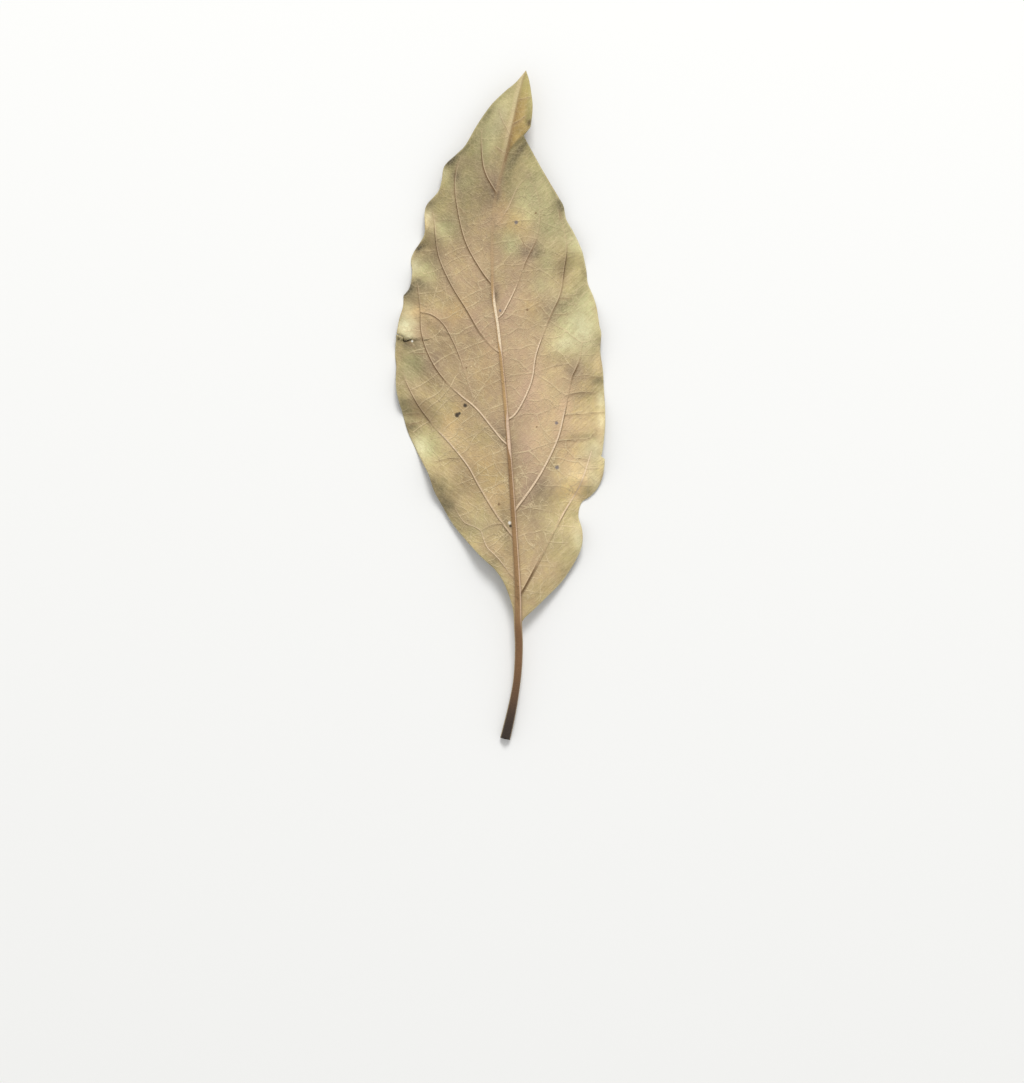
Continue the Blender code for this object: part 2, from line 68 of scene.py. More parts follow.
# Midrib and stalk of the plan: (distance from the blade's base, half width, height)
RIB_PROFILE = ((-STALK_LENGTH, 1.15, 0.85), (-23, 1.1, 0.8), (-14, 0.86, 0.56),
               (-4, STALK_HALF, 0.62), (3, STALK_HALF, 0.66), (12, 0.82, 0.66),
               (34, 0.72, 0.58), (66, 0.58, 0.46), (86, 0.42, 0.3),
               (BLADE_LENGTH, 0.34, 0.2))
RIB_FADE = (2, 20)
RIB_FOOT_SPAN = (2.2, BLADE_LENGTH - 4.5)

# Height of the midrib's line above the surface that the leaf lies on
SPINE = ((-STALK_LENGTH, 1.17), (-18, 1.9), (-8, 3), (0, 3.8), (24, 4.7), (52, 6),
         (78, 5.3), (104, 5), (BLADE_LENGTH, 4.5))

# Plan of the midrib, from the stalk's cut end to the tip
MIDRIB = (STALK_END, (-1.4, -20), (-0.2, -13), (0.2, -6), (0, 0), (-0.1, 8.3),
          (-0.9, 22.1), (-1.7, 34), (-2.5, 45.2), (-3.5, 55.8), (-4.5, 65.7), (-5.6, 73.6),
          (-5.8, 81.2), (-5.8, 86.2), (-5.3, 94), (-4.3, 99), (-3.3, 103), (-1.5, 110.9),
          (0.3, 119), TIP)
RIB_STEP = 1.9

# Plan of the blade's edge, from the tip down each side, in stretches between sharp corners
LEFT_EDGE = (
    (TIP, (-0.5, 121.5), (-2.9, 119.5), (-6.1, 116.4), (-9, 112.3), (-11.8, 107.5),
     (-13.8, 105.5), (-16.6, 102.8), (-17.2, 99.5), (-18, 97), (-20.5, 94.3), (-21.1, 92.2),
     (-21, 89.3), (-21.3, 87.1), (-23.6, 83.5), (-24.2, 81.5), (-23.9, 78.8), (-24.4, 75.6),
     (-25.9, 73.7)),
    ((-25.9, 73.7), (-26, 71.3), (-26.8, 68.4), (-27.4, 64.9)),
    ((-27.4, 64.9), (-26, 64.5)),
    ((-26, 64.5), (-25.6, 63.4)),
    ((-25.6, 63.4), (-24.2, 63.72)),
    ((-24.2, 63.72), (-23.8, 63.75)),
    ((-23.8, 63.75), (-24.15, 63.58)),
    ((-24.15, 63.58), (-25.68, 63.25)),
    ((-25.68, 63.25), (-26.1, 64.4), (-27.5, 64.78)),
    ((-27.5, 64.78), (-27.8, 60.5), (-27.5, 57.8), (-27.6, 54.2), (-27.2, 50.9), (-26, 46.8),
     (-25, 43.2), (-23.4, 39.6), (-21.6, 36), (-20.2, 33.3), (-19, 29.7), (-17.2, 26.3),
     (-14.4, 21.6), (-9.8, 16.2), (-7.3, 13.7), (-5.3, 11.9), (-3.4, 9.2), (-1.9, 5.6),
     (-1.1, 2.5), (-STALK_HALF, 0)),
)
RIGHT_EDGE = (
    (TIP, (2.5, 122), (3, 119), (3.3, 115.9), (2.9, 111.8), (2.4, 110.7),
     (1.3, 109.4)),
    ((1.3, 109.4), (3.1, 106.2), (5.1, 102.6), (7.1, 99.2), (9.1, 95.9), (10.3, 93.8),
     (10.9, 90.9), (12.4, 88.2), (14, 84.8), (14.8, 82.6), (15.5, 79.2), (15.8, 76.5),
     (17, 73.6), (17.8, 70.9), (18.4, 66.8), (18.8, 65), (18.6, 61), (19.2, 56.9),
     (19.4, 53.3), (19.7, 47.7), (19.6, 43), (19, 38.2), (18.7, 37.4)),
    ((18.7, 37.4), (19.6, 36.7)),
    ((19.6, 36.7), (19.5, 34.9), (19, 32.4), (17.8, 29.9), (16, 28.1), (14.6, 27.2),
     (13.9, 25.7), (13.7, 23.6), (14.4, 21.2), (14.6, 18.7), (14.2, 16.4), (13.1, 14),
     (11.9, 11.9), (9.7, 8.8), (6.5, 5.6), (3.4, 2.6), (1.6, 1), (STALK_HALF, 0)),
)

# Height of the waves along each edge: (place along the leaf, height)
LEFT_WAVES = ((0, 0), (12, 0.4), (22, -1.1), (33, 1.3), (42.8, -1.4), (51.5, 0.9),
              (60.6, -1), (65.6, 1.5), (72.6, -1.3), (77.6, 1.1), (83.3, -1.2), (88.4, 1.1),
              (93.2, -1.1), (98.4, 1), (104.8, -0.7), (110, 0.3), (BLADE_LENGTH, 0))
RIGHT_WAVES = ((0, 0), (9, -0.4), (17.3, 1.1), (26.3, -1.1), (37.6, 1.3), (53.3, -1.1),
               (64, 1.5), (77, -1.1), (83, 0.8), (91.6, -0.8), (97.5, 0.5), (105, -0.4),
               (112, 0), (BLADE_LENGTH, 0))
WAVE_REACH = (0.42, 1.05)
WAVE_SLANT = 0.95
WAVE_START = 12.0

# The pleat across the tip: its line, and how far the tip's right half stands above the blade
PLEAT = ((1.3, 109.4), (-0.2, 108.1), (-1.8, 106.2), (-2.9, 103.4))
PLEAT_STEP = 1.2
PLEAT_RISE = 1.7
PLEAT_HALF = 0.22
PLEAT_WIDTH = 3.4
PLEAT_GROWS = (102.5, 107.5)
PLEAT_FADES = (111, 123)
PLEAT_LEFT_AT_TIP = 0.3
PLEAT_MOST = 1.1

# The torn flap of the left edge: where it stands up, from the blade outwards and upwards
TEAR_RISE = 0.9
TEAR_GROWS = (-21.6, -25.2)
TEAR_LINE = (63.5, 64)
TEAR_FADES = (65, 71)

# Small low places of the edge that carry the leaf: (x, y)
REST_SPOTS = ((-22.2, 83), (-23.1, 44), (13.6, 77.4), (12.2, 26))
REST_RADIUS = 2.1
REST_BLEND = 7.0

# Side veins, each from where it starts to where it ends
LEFT_VEINS = (
    ((-1.3, 19.4), (-4.9, 24.3), (-8.7, 30.5), (-11.3, 35.2), (-15.4, 40.3), (-19.4, 44.6),
     (-22.6, 48.8), (-25.2, 53.8), (-26, 56.1)),
    ((-2.3, 39.4), (-5.7, 43.6), (-9.4, 48.1), (-13, 51.1), (-17.4, 55.4), (-20.4, 60.5),
     (-21.9, 65.5), (-22.1, 70.4), (-22.7, 76)),
    ((-4.4, 60.5), (-8.4, 64.8), (-11.6, 70.1), (-15.2, 76), (-18.1, 82.9), (-19, 90.5),
     (-19.3, 92.5)),
    ((-5.6, 75.2), (-9, 80), (-12, 85.8), (-13.7, 92.9), (-14.3, 99), (-13.4, 103.8),
     (-12.2, 105.8)),
    ((-4.9, 96.3), (-7.6, 101.5), (-8.3, 107.1), (-8.1, 110.9)),
    ((-22.1, 70.4), (-17.5, 67.7), (-14.6, 62.9), (-12.4, 57.4), (-10.1, 50.6)),
    ((-0.4, 9), (-2.6, 12), (-4.7, 14.6), (-7.2, 17.2), (-8.6, 20.8), (-12, 22.4),
     (-14.2, 25.6)),
    ((-1.8, 109.8), (-3.4, 112.5), (-4.3, 115)),
    ((-3.4, 22.4), (-5.8, 21.7), (-8.6, 20.8)),
)
RIGHT_VEINS = (
    ((-0.7, 25.2), (2.6, 29.6), (5.7, 34.5), (8.8, 41), (10.3, 46.7), (11.9, 54.3),
     (13.7, 58.5), (14.8, 65)),
    ((-1.9, 45.2), (0.7, 48.9), (3.1, 54.5), (4.1, 60.5), (7.1, 68.4), (9.5, 73.6),
     (10.4, 79), (11, 84.6), (9.8, 91.5)),
    ((-4.3, 67.8), (-1.1, 74), (1.7, 80.9), (4.1, 86.2), (4.9, 91.4), (4.3, 96.5),
     (2.2, 100.2)),
    ((-5.3, 88.4), (-2.3, 93), (-0.1, 97.8), (2.2, 100.2)),
    ((-0.1, 5), (2.7, 9.9), (7.4, 19.1), (10.5, 24.9), (14, 30.9), (16.6, 38.5)),
)
VEIN_STEP = 2.1

# The raised net between the side veins
NET_STEP = 2.4
NET_SPACING = 5.0
RIB_NET_LEAN = (-0.4, 0.2)
VEIN_NET_LEAN = (0.1, 0.45)
NET_WIDEST_GAP = 17.0
NET_NARROWEST_GAP = 2.6
NET_TO_EDGE = 4.6
NET_WANDER = 0.5
NET_PLACES = (0.25, 0.85)
NET_MEETS = (0.6, 2.5)
NET_NEARS_EDGE = (1.3, 1)
NET_KNOT_STEP = 3.0
NET_SEED = 12

# Hollows between the veins, and slow crumples as (height, length, direction, phase)
QUILT_RISE = 0.42
QUILT_REACH = 2.6
CRUMPLES = ((0.3, 23, 0.9, 0.4), (0.24, 15, -0.5, 2.1), (0.16, 10, 1.9, 4))
BLADE_HALVES = (1.5, 9)

# Spacing of the points of the plan's lines, and how near to others a vein may run
EDGE_STEP = 1.6
CURVE_STEPS = 12
STALK_TOP = -0.5
VEINS_FROM = 1
NET_FROM = 4
CLEAR_OF_EDGE = 1.05
CLEAR_OF_VEIN = 1.1
CLEAR_OF_NET = 1.35
SHORTEST_STRETCH = 1.4
MARCH = 0.4

# The visible blade: thinner than the solid, and thinner still at its rim
FINE_THICK = 0.34
RIM_THIN = 0.45
RIM_WIDTH = 0.30
STEEPEST = 0.5

# Midrib and stalk as seen: (distance from the blade's base, half width, height above the blade),
# and a side vein: (share of its length, half width, height)
FINE_RIB = ((-STALK_LENGTH, 1.15, 0.98), (-23, 1.08, 0.91), (-14, 0.84, 0.67),
            (-4, 0.84, 0.68), (3, 0.78, 0.68), (12, 0.64, 0.58), (34, 0.5, 0.42),
            (62, 0.4, 0.31), (71, 0.38, 0.24), (80, 0.35, 0.14), (92, 0.34, 0.09),
            (104, 0.36, 0.05), (113, 0.25, 0.05), (BLADE_LENGTH, 0.12, 0.04))
FINE_VEIN = ((0, 0.29, 0.26), (0.35, 0.23, 0.19), (0.85, 0.14, 0.09), (1, 0.07, 0.03))

# The net as seen
FINE_NET_HALF = 0.11
FINE_NET_RISE = 0.05

# The threads of the finest net
THREAD_SEED = 5
THREAD_STEP = 0.2
THREAD_SPACING = 2.3
THREAD_LONGEST = 4.6
THREAD_SWING = 28
THREAD_WANDER = 9
THREAD_MEETS = 0.16
THREAD_CLEAR = 4
THREAD_SHORTEST = 6
THREAD_SHARE = (0.4, 0.8)
THREAD_TOP = 99.0

# How far round the veins and the net their distance is known, and the way that the light comes
VEIN_HALO = 2.6
NET_HALO = 1.2
LIGHT_WAY = (0.7, 1)
LEFT_OF = -3.0

# Share of a vein's height that is hollow below, height of a brown vein, and the fold's overlap
GROOVE_SHARE = 0.25
BROWN_VEIN_HEIGHT = 0.55
FOLD_OVERLAP = 0.8

# The torn edge, and the shade on the blade below it
TEAR = ((-27.9, 64.9), (-26.05, 64.45), (-25.64, 63.33), (-24.2, 63.65), (-23.8, 63.75))
TEAR_SHADE = 2.8
TEAR_SHADE_GROWS = (-26.8, -25.6)
TEAR_SHADES = (0.4, 1)

# Spacing of the fine mesh's points
FINE_RIB_STEP = 0.6
FINE_EDGE_STEP = 0.42
FINE_VEIN_STEP = 0.5
FINE_FILL = 0.44
FINE_CLEAR = 0.2
FINE_CLEAR_OF_EDGE = 0.62
RIM_RINGS = (0.16, 0.38)
RING_CLEAR = 0.9
CDT_EPSILON = 1e-4

# How many places are worked on at a time
PART_SIZE = 900
MIDDLE_PART_SIZE = 4000

# Lines of the mesh along the midrib: (share of its half width, how far up the blade it runs)
RIB_LINES = ((0.25, 60), (0.5, 84), (0.75, 60), (0.92, 30), (1, RIB_FOOT_SPAN[1]))

# Colour zones of the blade: (x, y, reach across, reach along, turn in degrees, strength)
ZONES = {
    "green": (
        (-2.5, 117, 3, 6, -25, 0.4), (-6.6, 109.5, 2.6, 6, -15, 0.6), (8, 98.4, 4, 6, 30, 0.7),
        (3.1, 95.1, 3.5, 3.5, 0, 0.6), (7, 89.1, 3, 5, 0, 0.8), (-16.7, 89.1, 2.6, 3, 0, 0.9),
        (-1.5, 85.2, 2, 2.4, 0, 1), (-20.6, 79.3, 2.4, 3.2, 10, 0.9), (13.3, 85.6, 3, 5, 20, 0.9),
        (5.1, 76, 2, 2, 0, 0.6), (15.5, 71.7, 2.6, 6, 10, 1), (12.2, 66, 4.2, 5.4, 20, 1),
        (2, 97, 2.6, 5, 10, 0.55), (1.8, 91.6, 2, 2.4, 0, 0.4), (-12, 98.5, 2.4, 3.4, 0, 0.35),
        (6.8, 81, 2.4, 3.4, 0, 0.6), (10.2, 71, 2.2, 5, 20, 0.35), (9.6, 62.4, 2, 2, 0, 0.35),
        (-23.7, 57.8, 2.4, 3.4, 0, 0.9), (-20.3, 39.4, 3.2, 3.6, 20, 1), (-25.3, 46.5, 1.6, 3, 20, 0.5),
        (-16.7, 50.9, 3, 2.2, 30, 0.15), (-8.5, 21.9, 4, 3, 0, 0.4), (9, 22, 4, 8, 20, 0.4),
    ),
    # Pale: partly the blade's own paler colour, partly painted highlights on the lit slopes of the
    # margin's waves and on the tip
    "pale": (
        (-20.3, 91.8, 1, 1.6, 0, 0.55), (-16.9, 101.3, 0.9, 1.4, 0, 0.4),
        (-23.4, 80.4, 1.3, 2, 0, 0.65), (-25.4, 67, 2.2, 2.4, 0, 1), (-24.8, 64.5, 1.1, 0.8, 0, 0.7),
        (-24.6, 71.5, 1.4, 1.6, 0, 0.4), (-3.8, 113, 1.6, 5, -20, 0.4),
        (-22.4, 39.4, 1.8, 2.2, 20, 0.75), (14.6, 66.4, 2.6, 4.4, 15, 0.55),
        (10.6, 62.6, 2.6, 1.6, 20, 0.5), (17.4, 38.6, 2.6, 2.6, 0, 0.5),
        (17.6, 31.8, 1.4, 2.4, 30, 0.4), (13.6, 19, 1.2, 4, 10, 0.5), (18.8, 50.2, 0.9, 2, 0, 0.6),
        (18.8, 45, 0.8, 1.6, 0, 0.5), (13.4, 86.8, 1, 3.4, 25, 0.35),
    ),
    # Dark: painted shade in the hollows of the waved margin, below the pleat, beside the tip's crease and
    # by vein joins, partly the blade's own darker olive
    "dark": (
        (-15.3, 103.9, 1.9, 1.4, 40, 0.9), (-19.8, 94.5, 1.7, 1.3, 30, 0.9),
        (-21.9, 84.8, 1.5, 1, 35, 1), (-22.4, 84.5, 0.9, 0.6, 35, 0.9), (-20.3, 82.6, 2.6, 1.6, 0, 0.5),
        (-24.6, 74.6, 2, 1.3, 30, 0.9), (-22.8, 76.4, 2, 1.8, 0, 0.4), (-21.8, 61.6, 1.6, 1.4, 0, 0.4),
        (-22.4, 76.6, 1.5, 0.9, -25, 0.6), (-19.5, 74.1, 1.8, 1.1, 0, 0.6),
        (-25.6, 74.3, 0.8, 0.8, 0, 0.7), (-14.1, 100, 1.3, 1.6, 0, 0.6),
        (15.6, 29.4, 1.2, 1.8, -40, 0.5), (-15, 104.2, 1.2, 0.6, 40, 0.5),
        (-25.8, 49.4, 1.8, 1.8, 10, 0.6), (-25, 47, 1.6, 1.3, 0, 0.6), (-24.4, 44.2, 1.9, 1.3, 20, 1),
        (-18.4, 30.6, 2.2, 3, 30, 0.8), (-16.2, 26.4, 2.2, 2.2, 40, 0.9), (9.4, 93.9, 2, 1.8, -30, 0.8),
        (1.5, 107.6, 1.6, 0.8, 55, 0.7), (2.6, 100.4, 2.2, 1.6, 0, 0.3),
        (15.6, 78.6, 1.2, 1.6, 20, 0.6), (10.3, 79.2, 1.3, 1.5, 0, 0.35),
        (11.7, 72.4, 4.6, 1.5, 38, 0.6), (18.6, 62.8, 1.3, 2, 0, 0.6), (12.6, 56.6, 1.6, 2.2, -25, 0.7),
        (18.4, 54.4, 1.4, 1.2, 0, 0.8), (14.6, 51, 3, 0.7, 8, 0.4), (14, 41.8, 3.4, 0.7, 5, 0.45),
        (9.7, 59.2, 3, 1.5, 0, 0.3), (5.4, 30.6, 3, 2.2, 35, 0.35), (-4.2, 41.5, 1.6, 2.6, 40, 0.3),
        (-1.8, 102.6, 0.8, 3.4, -22, 0.55), (-5.5, 13.3, 1.4, 1.2, 0, 0.6),
        (-2.6, 16.6, 2, 2.4, 0, 0.3),
    ),
    "rose": (
        (-9.5, 68, 7, 20, 14, 0.5), (-11, 75, 1.8, 2.6, 30, 0.35), (-20.5, 75, 2.4, 1.6, 0, 0.35),
        (-4.3, 44, 1.4, 3, 35, 0.6), (12, 36, 4, 3, 0, 0.3), (-17, 67, 1.6, 1.6, 0, 0.4),
        (-1, 64, 6, 20, 4, 0.65), (-8, 92, 3, 9, 10, 0.3), (2.1, 83.6, 2.6, 2.4, 0, 0.9),
        (5.7, 30.6, 3, 2.4, 20, 0.9), (2, 34, 3.2, 15, 3, 0.95), (-19.4, 60, 3, 6, 20, 0.6),
        (8.4, 70, 2.6, 6, 25, 0.7), (13, 56.4, 2.2, 2.2, 0, 0.8), (7, 47, 6, 9, 0, 0.6),
        (-4.8, 99, 1.6, 7, 6, 0.7), (-21, 82, 2.4, 2.6, 0, 0.5),
    ),
    "amber": (
        (-15.8, 44.7, 1.8, 2.4, 30, 0.6), (-13.3, 47.6, 1.8, 1.8, 0, 0.5),
        (-7.5, 54.4, 2.6, 3.2, 20, 0.4), (-6.1, 60.6, 2.2, 3, 0, 0.35), (-0.2, 89.8, 2.4, 2.6, 0, 0.9),
        (-3.4, 93.6, 1.6, 3.4, 0, 0.6), (2.9, 71.1, 1.8, 2, 0, 0.6), (9.8, 82.8, 2.2, 1.6, 0, 0.5),
        (12.2, 38.5, 3, 1.6, 20, 0.2), (8.1, 46.1, 2.6, 3, 0, 0.1), (16.7, 51, 2, 1.6, 0, 0.1),
        (-3, 112.5, 1.8, 6, -20, 0.5), (-1, 102, 2.6, 3, 0, 0.3), (-14, 69.7, 3.4, 2.2, 40, 0.7),
        (-23.7, 69.7, 1.6, 2.2, 0, 0.7), (0.8, 99.1, 1.8, 2.6, -20, 0.45),
        (-4.4, 29.2, 2.6, 4.6, 10, 0.5), (-8, 35.4, 2.8, 3.6, 20, 0.6), (6.1, 97.2, 2, 2.2, 0, 0.4),
    ),
}

# Painted light and shade, partly the blade's own tone, in zones that are lighter or darker than
# the ground colours: the last number is the change
LIGHT_ZONES = (
    (-8, 101, 9, 8, 0, -0.3), (-1, 104.5, 2.8, 4, 0, -0.26), (-7, 95, 4, 4, 0, -0.14),
    (-14, 88, 4, 6, 0, -0.2), (9.5, 89, 4, 4, 0, -0.2), (-3, 80, 5, 6, 0, -0.16),
    (4, 70, 3, 6, 0, -0.14), (-6.3, 72, 2.4, 3.6, 0, -0.16), (-20, 59, 6, 7, 0, -0.26),
    (-9, 52, 6, 7, 0, -0.14), (9.5, 47.5, 4, 4, 0, 0.2), (-16.4, 40, 3.2, 3.4, 0, 0.56),
    (14.2, 31.8, 3.4, 3.6, 0, 0.62), (-1.5, 38.5, 2.4, 6, 0, -0.2), (4, 24, 3, 6, 0, -0.18),
    (-25.5, 48, 2.5, 3, 0, 0.12), (5.2, 30.6, 2.6, 2.6, 20, -0.2), (13.4, 80.8, 2, 2, 0, 0.16),
    (2.4, 83.6, 2.2, 1.8, 0, -0.18), (6.8, 70, 1.6, 3, 25, -0.14), (-6, 112, 3, 6, -20, -0.18),
    (-26.5, 55, 2.5, 4, 0, -0.14), (-11, 32, 3.4, 4, 0, -0.14), (-21.2, 48.4, 1.8, 1.8, 0, 0.14),
    (9, 63.6, 2.4, 2.6, 0, 0.14), (-6.2, 96.5, 1.8, 3.6, 0, -0.12), (4.5, 96.5, 2.6, 4, 0, -0.14),
    (3.4, 54, 3.6, 8, 0, 0.22), (15, 47, 4, 4, 0, 0.12), (4.5, 40, 2.6, 4, 0, 0.12),
    (-11, 104, 2.5, 3, 0, -0.12), (-18.5, 80, 4, 3, 0, -0.14), (-10, 48, 2.4, 3, 0, -0.1),
    (-25.8, 65.8, 1.6, 1.6, 0, 0.22), (-11.5, 89, 2.6, 4.6, 0, -0.14), (10, 38, 7, 14, 0, 0.13),
    (16.2, 72.6, 0.8, 2.6, 0, 0.12), (-24.6, 62.7, 1, 0.45, -10, -0.45), (18, 57.4, 0.8, 2.6, 0, 0.32),
    (18.8, 44.6, 0.8, 4.6, 0, 0.34), (14.4, 83.8, 0.5, 1.6, 25, 0.3), (-22.2, 70.4, 1.6, 1.2, 0, 0.62),
    (-19.8, 68.9, 1.8, 1, -20, 0.4), (-21.3, 89.8, 0.8, 1.6, 10, 0.5), (-19.6, 87, 1.4, 1.2, 0, 0.2),
    (-17.5, 92.5, 1.6, 1.2, -30, 0.15), (2.7, 83.4, 2.8, 1.3, 6, -0.3), (4.4, 82.6, 1.4, 1, 0, -0.2),
    (8.5, 83.4, 3, 1, 5, -0.18), (13.7, 82.4, 1.5, 1.5, 0, 0.45), (1.5, 91.4, 1.8, 1.8, 0, 0.2),
    (-16.2, 67.8, 1.5, 1.2, 0, -0.18), (-13.6, 65.4, 1, 1.4, -40, -0.14), (-18.6, 59, 0.9, 2, 0, -0.18),
    (-16.3, 44, 0.9, 1.2, 30, -0.24), (-4.4, 43.4, 0.7, 2.4, 35, -0.2),
    (-2.6, 40.8, 0.9, 1.6, 20, -0.45), (-3.4, 25, 0.9, 2.8, 5, -0.26), (-2.6, 20.5, 0.9, 2.8, 5, -0.34),
    (11, 30.2, 2.8, 1.3, 6, 0.5), (10.4, 27.6, 2.4, 2, 0, 0.22), (12.4, 31.4, 2.6, 0.8, 12, 0.4),
    (18.7, 34.8, 0.8, 2.8, -14, 0.55), (12.9, 29.4, 1.3, 0.9, 30, 0.95),
    (-9.2, 19, 1.6, 1.4, -40, 0.24), (13.2, 18, 1, 2.6, 0, 0.14), (-24.8, 60.2, 0.8, 2.6, 48, 0.34),
    (-26.8, 62.4, 0.9, 1.2, 0, 0.36), (-26.5, 69, 0.7, 2.4, 0, -0.26), (13.6, 67.6, 1.4, 1.6, 0, -0.12),
    (-22.1, 84.7, 0.8, 0.5, 35, -0.5), (-22.7, 84.2, 0.6, 0.5, 35, -0.3),
    (-14.1, 100.4, 0.8, 0.9, 0, -0.32), (-15.3, 103.9, 1.1, 0.5, 40, -0.4),
    (-25.2, 74.9, 1.4, 0.8, 40, -0.75), (-12.6, 106.2, 0.8, 4.4, -47, -0.32),
    (-17.6, 96.4, 0.8, 1.8, 0, -0.2), (-5, 96.3, 0.7, 1.8, 8, -0.3), (4.6, 85.2, 1, 0.8, 0, -0.2),
    (-5.3, 73.4, 0.8, 1.6, 0, -0.6), (-22.4, 76.7, 1.2, 0.6, -25, -0.2),
    (-22.1, 39.6, 1.5, 1.9, 10, 0.3), (-2, 97, 1.4, 3, 5, -0.18), (-16.6, 51.6, 2, 1.4, 0, 0.2),
    (2.8, 105.6, 1, 1.4, 30, -0.18), (-25.6, 74.4, 0.6, 0.6, 0, -0.24), (-3.1, 116.8, 1.5, 1.6, 0, 0.2),
    (-7.4, 113.7, 0.8, 3, -38, -0.36), (-2.6, 119.7, 0.7, 3.6, -48, -0.24),
    (-5.2, 113.6, 1, 1.4, 0, 0.16), (0.5, 110.6, 0.7, 0.9, -30, -0.22),
    (-0.4, 108.7, 1.8, 0.4, 55, 0.18), (-6, 107.8, 1.4, 2, 0, 0.22), (-2, 109.4, 1.2, 2, -15, 0.14),
    (-12.6, 97, 1.4, 2.6, 10, -0.14), (-5.6, 86, 2.2, 2.2, 0, -0.12), (0.4, 106.1, 2.4, 0.7, 55, -0.34),
    (8.7, 96.2, 0.8, 9, 28, -0.26), (2.5, 113.8, 0.9, 3.2, 0, -0.3), (-15.4, 76.7, 0.7, 2.6, 28, -0.3),
    (-20.4, 75.8, 2.6, 1.4, 0, -0.2), (6.4, 80.4, 2.6, 1.6, 20, -0.18), (0.3, 26.6, 0.8, 1.4, 0, -0.24),
    (18.2, 60.6, 0.8, 2.2, 0, 0.26), (-19.9, 92.4, 1.1, 1.2, 0, 0.28), (6, 88, 2.2, 1.6, 0, -0.12),
    (-10.6, 61, 1.6, 1.8, 0, -0.12), (-22.8, 43, 1.4, 1.4, 0, -0.16), (-8.6, 44.6, 2, 0.8, -20, 0.12),
    (-13, 29.6, 1.6, 1.6, 0, -0.14), (7.6, 35.6, 0.8, 1.8, -30, -0.3), (10.6, 34, 2.2, 1.2, 0, -0.12),
    (-4.4, 16.6, 1.2, 2, 0, 0.12), (10.9, 49.2, 1.3, 3, -20, 0.28), (-1, 34, 1.4, 10, 3, -0.12),
)

# Creases: short dark lines of painted shade where the blade is folded sharply, with a soft painted
# shade below each and a thin painted highlight above
CREASES = (
    ((0.1, 87), (1.5, 84.9), (3, 83.9)), ((4.8, 71.2), (6, 69.8), (7.2, 68.2)),
    ((9.1, 92.9), (9.5, 91.1)), ((8.1, 69.3), (10.8, 69.5)), ((9.4, 73), (11.5, 73.2)),
    ((3.2, 64.5), (4.4, 63.6)), ((12.9, 55.3), (15.5, 55.5), (18.1, 55.3)), ((12, 54.1), (10.1, 55.1)),
    ((10.8, 51), (14, 51.7), (16.7, 51.7)), ((10.5, 46.5), (15.3, 47), (19.3, 47.4)),
    ((9.2, 40.7), (12.6, 41.1), (15.7, 41.3), (17.4, 42.7)),
    ((-13.3, 36.9), (-16, 36.8), (-18.7, 36.2)), ((-25.4, 47), (-22.3, 47.1)),
    ((-24.6, 44.7), (-21.6, 45.3)), ((-13.1, 93.2), (-12, 92.1)),
    ((-0.9, 112.2), (0.4, 112.8), (1.6, 113.8)), ((0.2, 117.6), (1.2, 117.8), (2.6, 118.1)),
    ((-24.5, 63.1), (-23.9, 62.7), (-23.4, 62.2)), ((-4.8, 106.9), (-2.9, 105.5)),
    ((-19.4, 60.4), (-23.4, 60.6)), ((13.5, 36.9), (15.6, 36.6)),
)

# How each side vein looks in places from start to end (0 cream with a painted shadow line below,
# 0.5 faint, 1 brown with a faint painted highlight above, below 0 cream with no painted shadow
# line), and its size last
VEIN_LOOKS = (
    (0.28, 0.28, 0.3, 0.26, 0.12, 0.1, 0.9, 1, 0.6, 0.8),
    (0.1, 0.05, 0.1, 0.2, 0.9, 0.95, 0.8, 0.7, 0.8, 0.74), (0.2, 0.7, 0.8, 0.85, 1, 1, 0.85, 0.6, 0.65),
    (1, 0.95, 0.85, 0.8, 0.9, 0.75, 0.8, 0.6, 0.6), (1, 1, 0.9, 0.75, 0.4, 0.6),
    (0.7, 0.8, 1, 0.95, 0.85, 0.65, 0.3, 0.25, 0.45), (0.5, 0.2, 0.1, 0.1, 0.1, 0.42),
    (0.75, 0.7, 0.22), (0.75, 0.7, 0.3), (0.1, 0, 0, 0, 0, 0.05, 0.3, 0.5, 0.85, 0.5, 0.5, 1),
    (0.1, 0, 0, 0.1, 0.2, 0.66, 0.76, 0.7, 0.85, 0.6, 0.4, 0.74),
    (0.2, 0.15, 0.25, 0.4, 0.74, 0.76, 0.55, 0.4, 0.4, 0.6, 0.4, 0.55), (0.65, 0.3, 0.3, 0.4, 0.35),
    (0.85, 0.8, 0.55, 0.45, -0.2, -0.3, -0.3, 1.15),
)

# How softly the zones fall off
ZONE_SOFT = 1.2

# Small marks: (x, y, radius)
# The first three are dark marks on the blade; the last is the painted shadow below the white speck at
# (-1.9, 22.3)
DARK_SPOTS = (
    (-13.7, 46.6, 0.54), (-13.2, 46.9, 0.35), (-11.9, 48.7, 0.42), (-1.7, 21.6, 0.32),
)
BLUE_SPOTS = (
    (-0.4, 89.9, 0.4), (-4, 70, 0.3), (8.7, 44.8, 0.36), (8.8, 34.8, 0.44),
)
BROWN_SPOTS = (
    (2.1, 70.2, 0.26), (-4.3, 26.5, 0.3), (4.2, 43.9, 0.22), (-11.6, 57.2, 0.2), (4, 92, 0.25),
)
WHITE_SPOTS = (
    (-1.9, 22.3, 0.34), (-23.85, 63.3, 0.22),
)
PALE_SPOTS = (
    (-9.7, 58.1, 0.22), (-10.5, 57.5, 0.16), (-0.8, 74.9, 0.24), (-10.7, 82, 0.24), (-16.2, 82.7, 0.26),
    (-12.6, 43.4, 0.2),
)
SCORCH = (2.7, 112.2, 0.8)

# Values that the mesh stores at its points for the materials
STORED = ("along", "share", "edge_gap", "rib_gap", "rib_half", "vein_gap", "vein_side", "vein_half",
          "vein_tone", "crease_gap", "crease_side", "net_gap", "net_side", "thread_gap", "thread_side",
          "light", "green", "pale", "dark", "rose", "amber", "fold", "torn")

